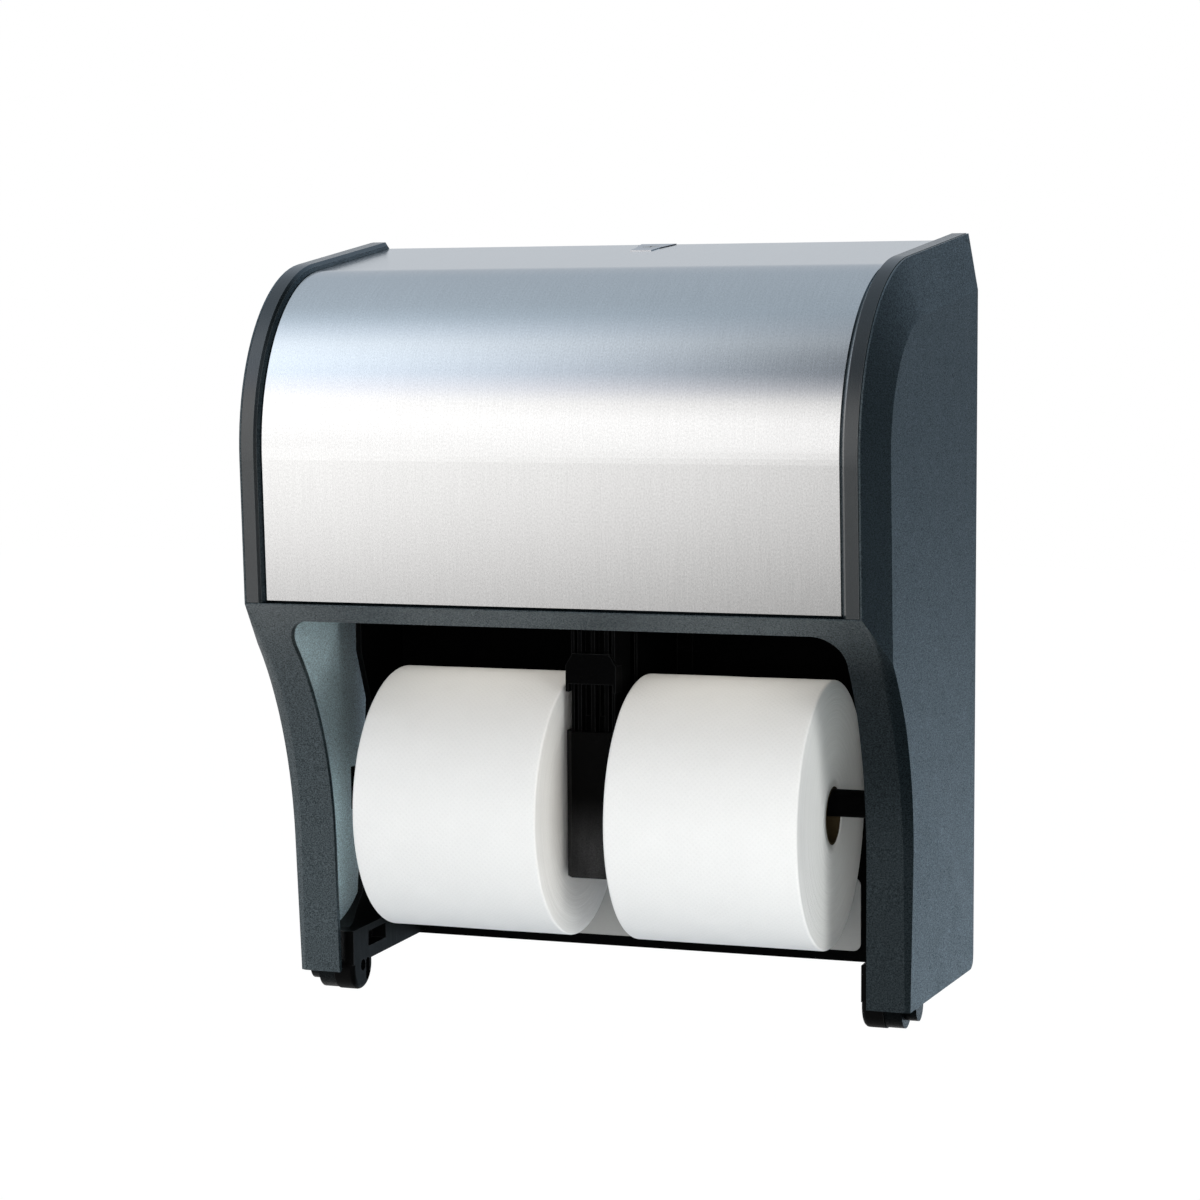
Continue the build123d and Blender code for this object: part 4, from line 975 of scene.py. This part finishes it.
class DISPENSER_OT_studio(bpy.types.Operator):
    """Set the camera, the soft lamps, the world and the floor"""

    bl_idname = "dispenser.studio"
    bl_label = "Studio"

    # The room's colour by the angle in degrees above the way the dispenser faces
    bands = (
        (-180, 0.60, 0.63, 0.67), (-165, 0.54, 0.55, 0.56), (-140, 0.80, 0.80, 0.80),
        (-112, 0.98, 0.98, 0.97), (-90, 0.66, 0.66, 0.66), (-36, 0.90, 0.90, 0.90),
        (-24, 0.84, 0.84, 0.84), (-17, 0.62, 0.62, 0.62), (-13.2, 0.33, 0.33, 0.33),
        (-12.1, 0.33, 0.33, 0.33), (-11, 0.77, 0.765, 0.76), (-9.9, 1.00, 0.995, 0.99),
        (-8.5, 1.08, 1.08, 1.075), (2, 1.17, 1.17, 1.17), (18, 1.23, 1.23, 1.23), (29, 1.09, 1.09, 1.09),
        (39, 0.77, 0.80, 0.87), (49, 0.58, 0.655, 0.75), (60, 0.64, 0.72, 0.81), (70, 0.67, 0.75, 0.835),
        (80, 0.56, 0.645, 0.74), (92, 0.43, 0.515, 0.60), (104, 0.39, 0.465, 0.54),
        (142, 0.38, 0.445, 0.515), (158, 0.42, 0.47, 0.53), (167, 0.575, 0.61, 0.65),
        (180, 0.64, 0.67, 0.71),
    )
    # How strongly the light at such an angle falls off from left to right, about lean_middle
    leans = (
        (-180, 0), (-40, 0), (-12, 0.2), (-9.5, 0.13), (2, 0.0), (16, 0.04), (28, 0.13), (39, 0.36),
        (49, 0.54), (59, 0.48), (70, 0.36), (80, 0.28), (90, 0.19), (102, 0.09), (120, 0.05), (180, 0),
    )
    lean_middle, lean_width, lean_most, lean_least = -0.33, 0.06, 1.8, 0.15

    # Name, place, aim, size, watts, colour and, where it is narrow, spread of each lamp
    lamps = (
        ("front_lamp", (0.6, -2.1, 0.3), (0, -0.08, 0.1), (1.0, 0.6), 12, (1.0, 0.985, 0.955)),
        ("right_lamp", (1.6, -1.3, 0.15), (0.1, -0.1, 0.08), (0.8, 0.8), 15, (0.97, 1.0, 0.99)),
        ("bay_lamp", (0, -0.1, 0.19), (0, -0.1, 0.0), (0.24, 0.05), 0.026, (1.0, 0.96, 0.88)),
        # The light that comes through the cover's smoke plastic sides
        ("left_glow", (-0.118, -0.085, 0.06), (-0.2, -0.085, 0.06), (0.12, 0.13), 0.020, (0.95, 1.0, 1.0)),
        (
            "gap_glow", (-0.1405, -0.107, 0.05), (-0.163, -0.045, 0.05), (0.004, 0.09), 0.0108,
            (0.95, 1.0, 1.0), radians(60),
        ),
        ("right_glow", (0.137, -0.08, 0.085), (0, -0.08, 0.085), (0.12, 0.14), 0.010, (0.97, 1.0, 0.98)),
        # The light that one roll throws back on the end of the other
        ("roll_glow", (0.013, -0.132, 0.085), (-0.1, -0.132, 0.085), (0.03, 0.1), 0.0032, (1.0, 0.90, 0.76)),
    )

    def camera(self, settings):
        """The camera, turned by its yaw, pitch and roll."""
        yaw, pitch, roll = settings.camera_yaw, settings.camera_pitch, settings.camera_roll
        ahead = Vector((-sin(yaw) * cos(pitch), cos(yaw) * cos(pitch), sin(pitch)))
        right = Vector((cos(yaw), sin(yaw), 0))
        up = right.cross(ahead)
        across = right * cos(roll) + up * sin(roll)
        upward = up * cos(roll) - right * sin(roll)
        data = bpy.data.cameras.new("camera")
        data.lens, data.sensor_width, data.clip_end = settings.lens, 36, 50
        camera = new_object("camera", data)
        turn = Matrix((across, upward, -ahead)).transposed()
        camera.matrix_world = Matrix.Translation(Vector(settings.camera_place)) @ turn.to_4x4()
        bpy.context.scene.camera = camera

    def lamp(self, name, place, aim, size, power, colour, spread=pi):
        """A soft square lamp at a place, turned to face the aim."""
        data = bpy.data.lights.new(name, "AREA")
        data.shape = "RECTANGLE"
        data.size, data.size_y = size
        data.energy, data.color, data.spread = power, colour, spread
        lamp = new_object(name, data)
        lamp.location = place
        lamp.rotation_euler = (Vector(aim) - Vector(place)).to_track_quat("-Z", "Y").to_euler()
        lamp.visible_camera = lamp.visible_glossy = False

    def by_angle(self, tree, turn, stops):
        """A ramp whose stops are an angle in degrees and a colour each."""
        return ramp(tree, turn, [((degrees + 180) / 360, colour) for degrees, *colour in stops])

    def world(self):
        """White to the camera, and to everything else a room with soft bands of light."""
        world = bpy.data.worlds.new("studio")
        world.use_nodes = True
        tree = world.node_tree
        tree.nodes.clear()
        way = parts_of(tree, add_node(tree, "ShaderNodeTexCoord").outputs["Generated"])
        x, z = way["X"], way["Z"]
        toward = product(tree, way["Y"], -1.0)
        turn = remap(tree, math_node(tree, "ARCTAN2", z, toward), -pi, pi, 0.0, 1.0)
        lean = self.by_angle(tree, turn, [(degrees, share, share, share) for degrees, share in self.leans])
        aside = product(tree, math_node(tree, "ADD", x, -self.lean_middle), -1 / self.lean_width)
        aside = math_node(tree, "MINIMUM", aside, self.lean_most)
        aside = math_node(tree, "MAXIMUM", aside, -self.lean_most)
        tilt = math_node(tree, "MULTIPLY_ADD", lean, aside, 1.0)
        tilt = math_node(tree, "MAXIMUM", tilt, self.lean_least)
        # Darker to the right in front, though further round it is bright again above the floor
        front, right = step(tree, toward, -0.1, 0.25), step(tree, x, -0.26, -0.02)
        around = product(
            tree, step(tree, x, 0.3, 0.5), step(tree, toward, 0.2, 0.45), step(tree, z, -0.4, -0.15)
        )
        dim = fade(tree, product(tree, front, right, fade(tree, around, 0.85)), 0.88)
        # Dark straight to the right, and less so in front
        beside = product(
            tree, step(tree, x, 0.36, 0.52), step(tree, toward, -0.96, -0.86),
            step(tree, toward, -0.35, -0.1, 1.0, 0.45),
        )
        # The floor is dark to the right of the middle, though not far behind
        below = product(
            tree, step(tree, z, -0.3, -0.55), step(tree, toward, -0.75, -0.5), step(tree, x, -0.30, -0.08)
        )
        # The dark room behind on the right, above a brighter floor
        behind = product(tree, step(tree, toward, -0.2, -0.5), step(tree, x, 0.0, 0.2))
        depth = math_node(
            tree, "ADD", step(tree, z, -0.22, -0.04, 2.8, 0.40), step(tree, z, 0.0, 0.06, 0.0, 0.6)
        )
        gloom = math_node(tree, "MULTIPLY_ADD", math_node(tree, "SUBTRACT", depth, 1.0), behind, 1.0)
        factor = product(tree, tilt, dim, fade(tree, beside, 1.0), gloom, fade(tree, below, 0.85))
        room = shade(tree, self.by_angle(tree, turn, self.bands), factor)
        cold = add_node(tree, "ShaderNodeVectorMath", {0: room, 1: (0.78, 0.96, 1.10)}, operation="MULTIPLY")
        room = blend_colours(tree, behind, room, cold.outputs[0])
        studio = add_node(tree, "ShaderNodeBackground", {"Color": room, "Strength": 1.0})
        white = add_node(tree, "ShaderNodeBackground", {"Color": (1, 1, 1), "Strength": 1.0})
        seen = add_node(tree, "ShaderNodeLightPath").outputs["Is Camera Ray"]
        mixed = add_node(tree, "ShaderNodeMixShader", {0: seen, 1: studio.outputs[0], 2: white.outputs[0]})
        add_node(tree, "ShaderNodeOutputWorld", {"Surface": mixed.outputs[0]})
        bpy.context.scene.world = world

    def floor(self, drop):
        """A wide pale floor that keeps a soft shadow and shows as white."""
        made = bmesh.new()
        bmesh.ops.create_grid(made, x_segments=24, y_segments=24, size=8)
        bmesh.ops.translate(made, verts=made.verts, vec=(0, 0, -drop))
        mesh = mesh_from(made, "studio_floor")
        material, tree, shader, coordinates = new_material(
            "studio_floor", roughness=0.8, specular_ior_level=0.1
        )
        cloud = noise_at(tree, coordinates["Object"], 0.5)
        connect(tree, shader, colour=shade(tree, (0.86, 0.86, 0.855), spread(tree, cloud, 0.985, 1.015)))
        glow = add_node(tree, "ShaderNodeEmission", {"Color": (1, 1, 1), "Strength": 1.06})
        seen = add_node(tree, "ShaderNodeLightPath").outputs["Is Camera Ray"]
        mixed = add_node(tree, "ShaderNodeMixShader", {
            0: product(tree, seen, 0.92), 1: shader.outputs[0], 2: glow.outputs[0],
        })
        output = next(n for n in tree.nodes if n.type == "OUTPUT_MATERIAL")
        tree.links.new(mixed.outputs[0], output.inputs["Surface"])
        mesh.materials.append(material)
        floor = new_object("studio_floor", mesh)
        floor.visible_glossy = False

    def execute(self, context):
        settings = context.scene.dispenser_studio
        self.camera(settings)
        self.world()
        self.floor(settings.floor_drop)
        for values in self.lamps:
            self.lamp(*values)
        context.scene.view_settings.view_transform = "Standard"
        return {"FINISHED"}


# Add-on layout


class DISPENSER_PT_panel(bpy.types.Panel):
    """Lists the dispenser's pieces and their sizes"""

    bl_label = "Toilet paper dispenser"
    bl_idname = "DISPENSER_PT_panel"
    bl_space_type = "VIEW_3D"
    bl_region_type = "UI"
    bl_category = "Dispenser"

    def draw(self, context):
        for operator in operators:
            self.layout.operator(operator.bl_idname)
        for group in setting_groups:
            box = self.layout.box()
            settings = getattr(context.scene, group)
            for name in settings.bl_rna.properties.keys():
                if name not in ("rna_type", "name"):
                    box.prop(settings, name)


operators = (
    DISPENSER_OT_cover, DISPENSER_OT_chassis, DISPENSER_OT_fittings, DISPENSER_OT_rolls,
    DISPENSER_OT_return_spring, DISPENSER_OT_screws, DISPENSER_OT_studio,
)
setting_groups = {
    "dispenser_plastic": PlasticSettings,
    "dispenser_steel": SteelSettings,
    "dispenser_rolls": RollSettings,
    "dispenser_fittings": FittingSettings,
    "dispenser_studio": StudioSettings,
}


def register():
    for group in (*setting_groups.values(), *operators, DISPENSER_PT_panel):
        bpy.utils.register_class(group)
    for name, group in setting_groups.items():
        setattr(bpy.types.Scene, name, bpy.props.PointerProperty(type=group))


def unregister():
    for name in setting_groups:
        delattr(bpy.types.Scene, name)
    for group in (DISPENSER_PT_panel, *reversed(operators), *setting_groups.values()):
        bpy.utils.unregister_class(group)


def main():
    register()
    bpy.ops.dispenser.studio()
    bpy.ops.dispenser.cover()
    bpy.ops.dispenser.chassis()
    bpy.ops.dispenser.fittings()
    bpy.ops.dispenser.rolls()
    bpy.ops.dispenser.return_spring()
    bpy.ops.dispenser.screws()


if __name__ == "__main__":
    main()
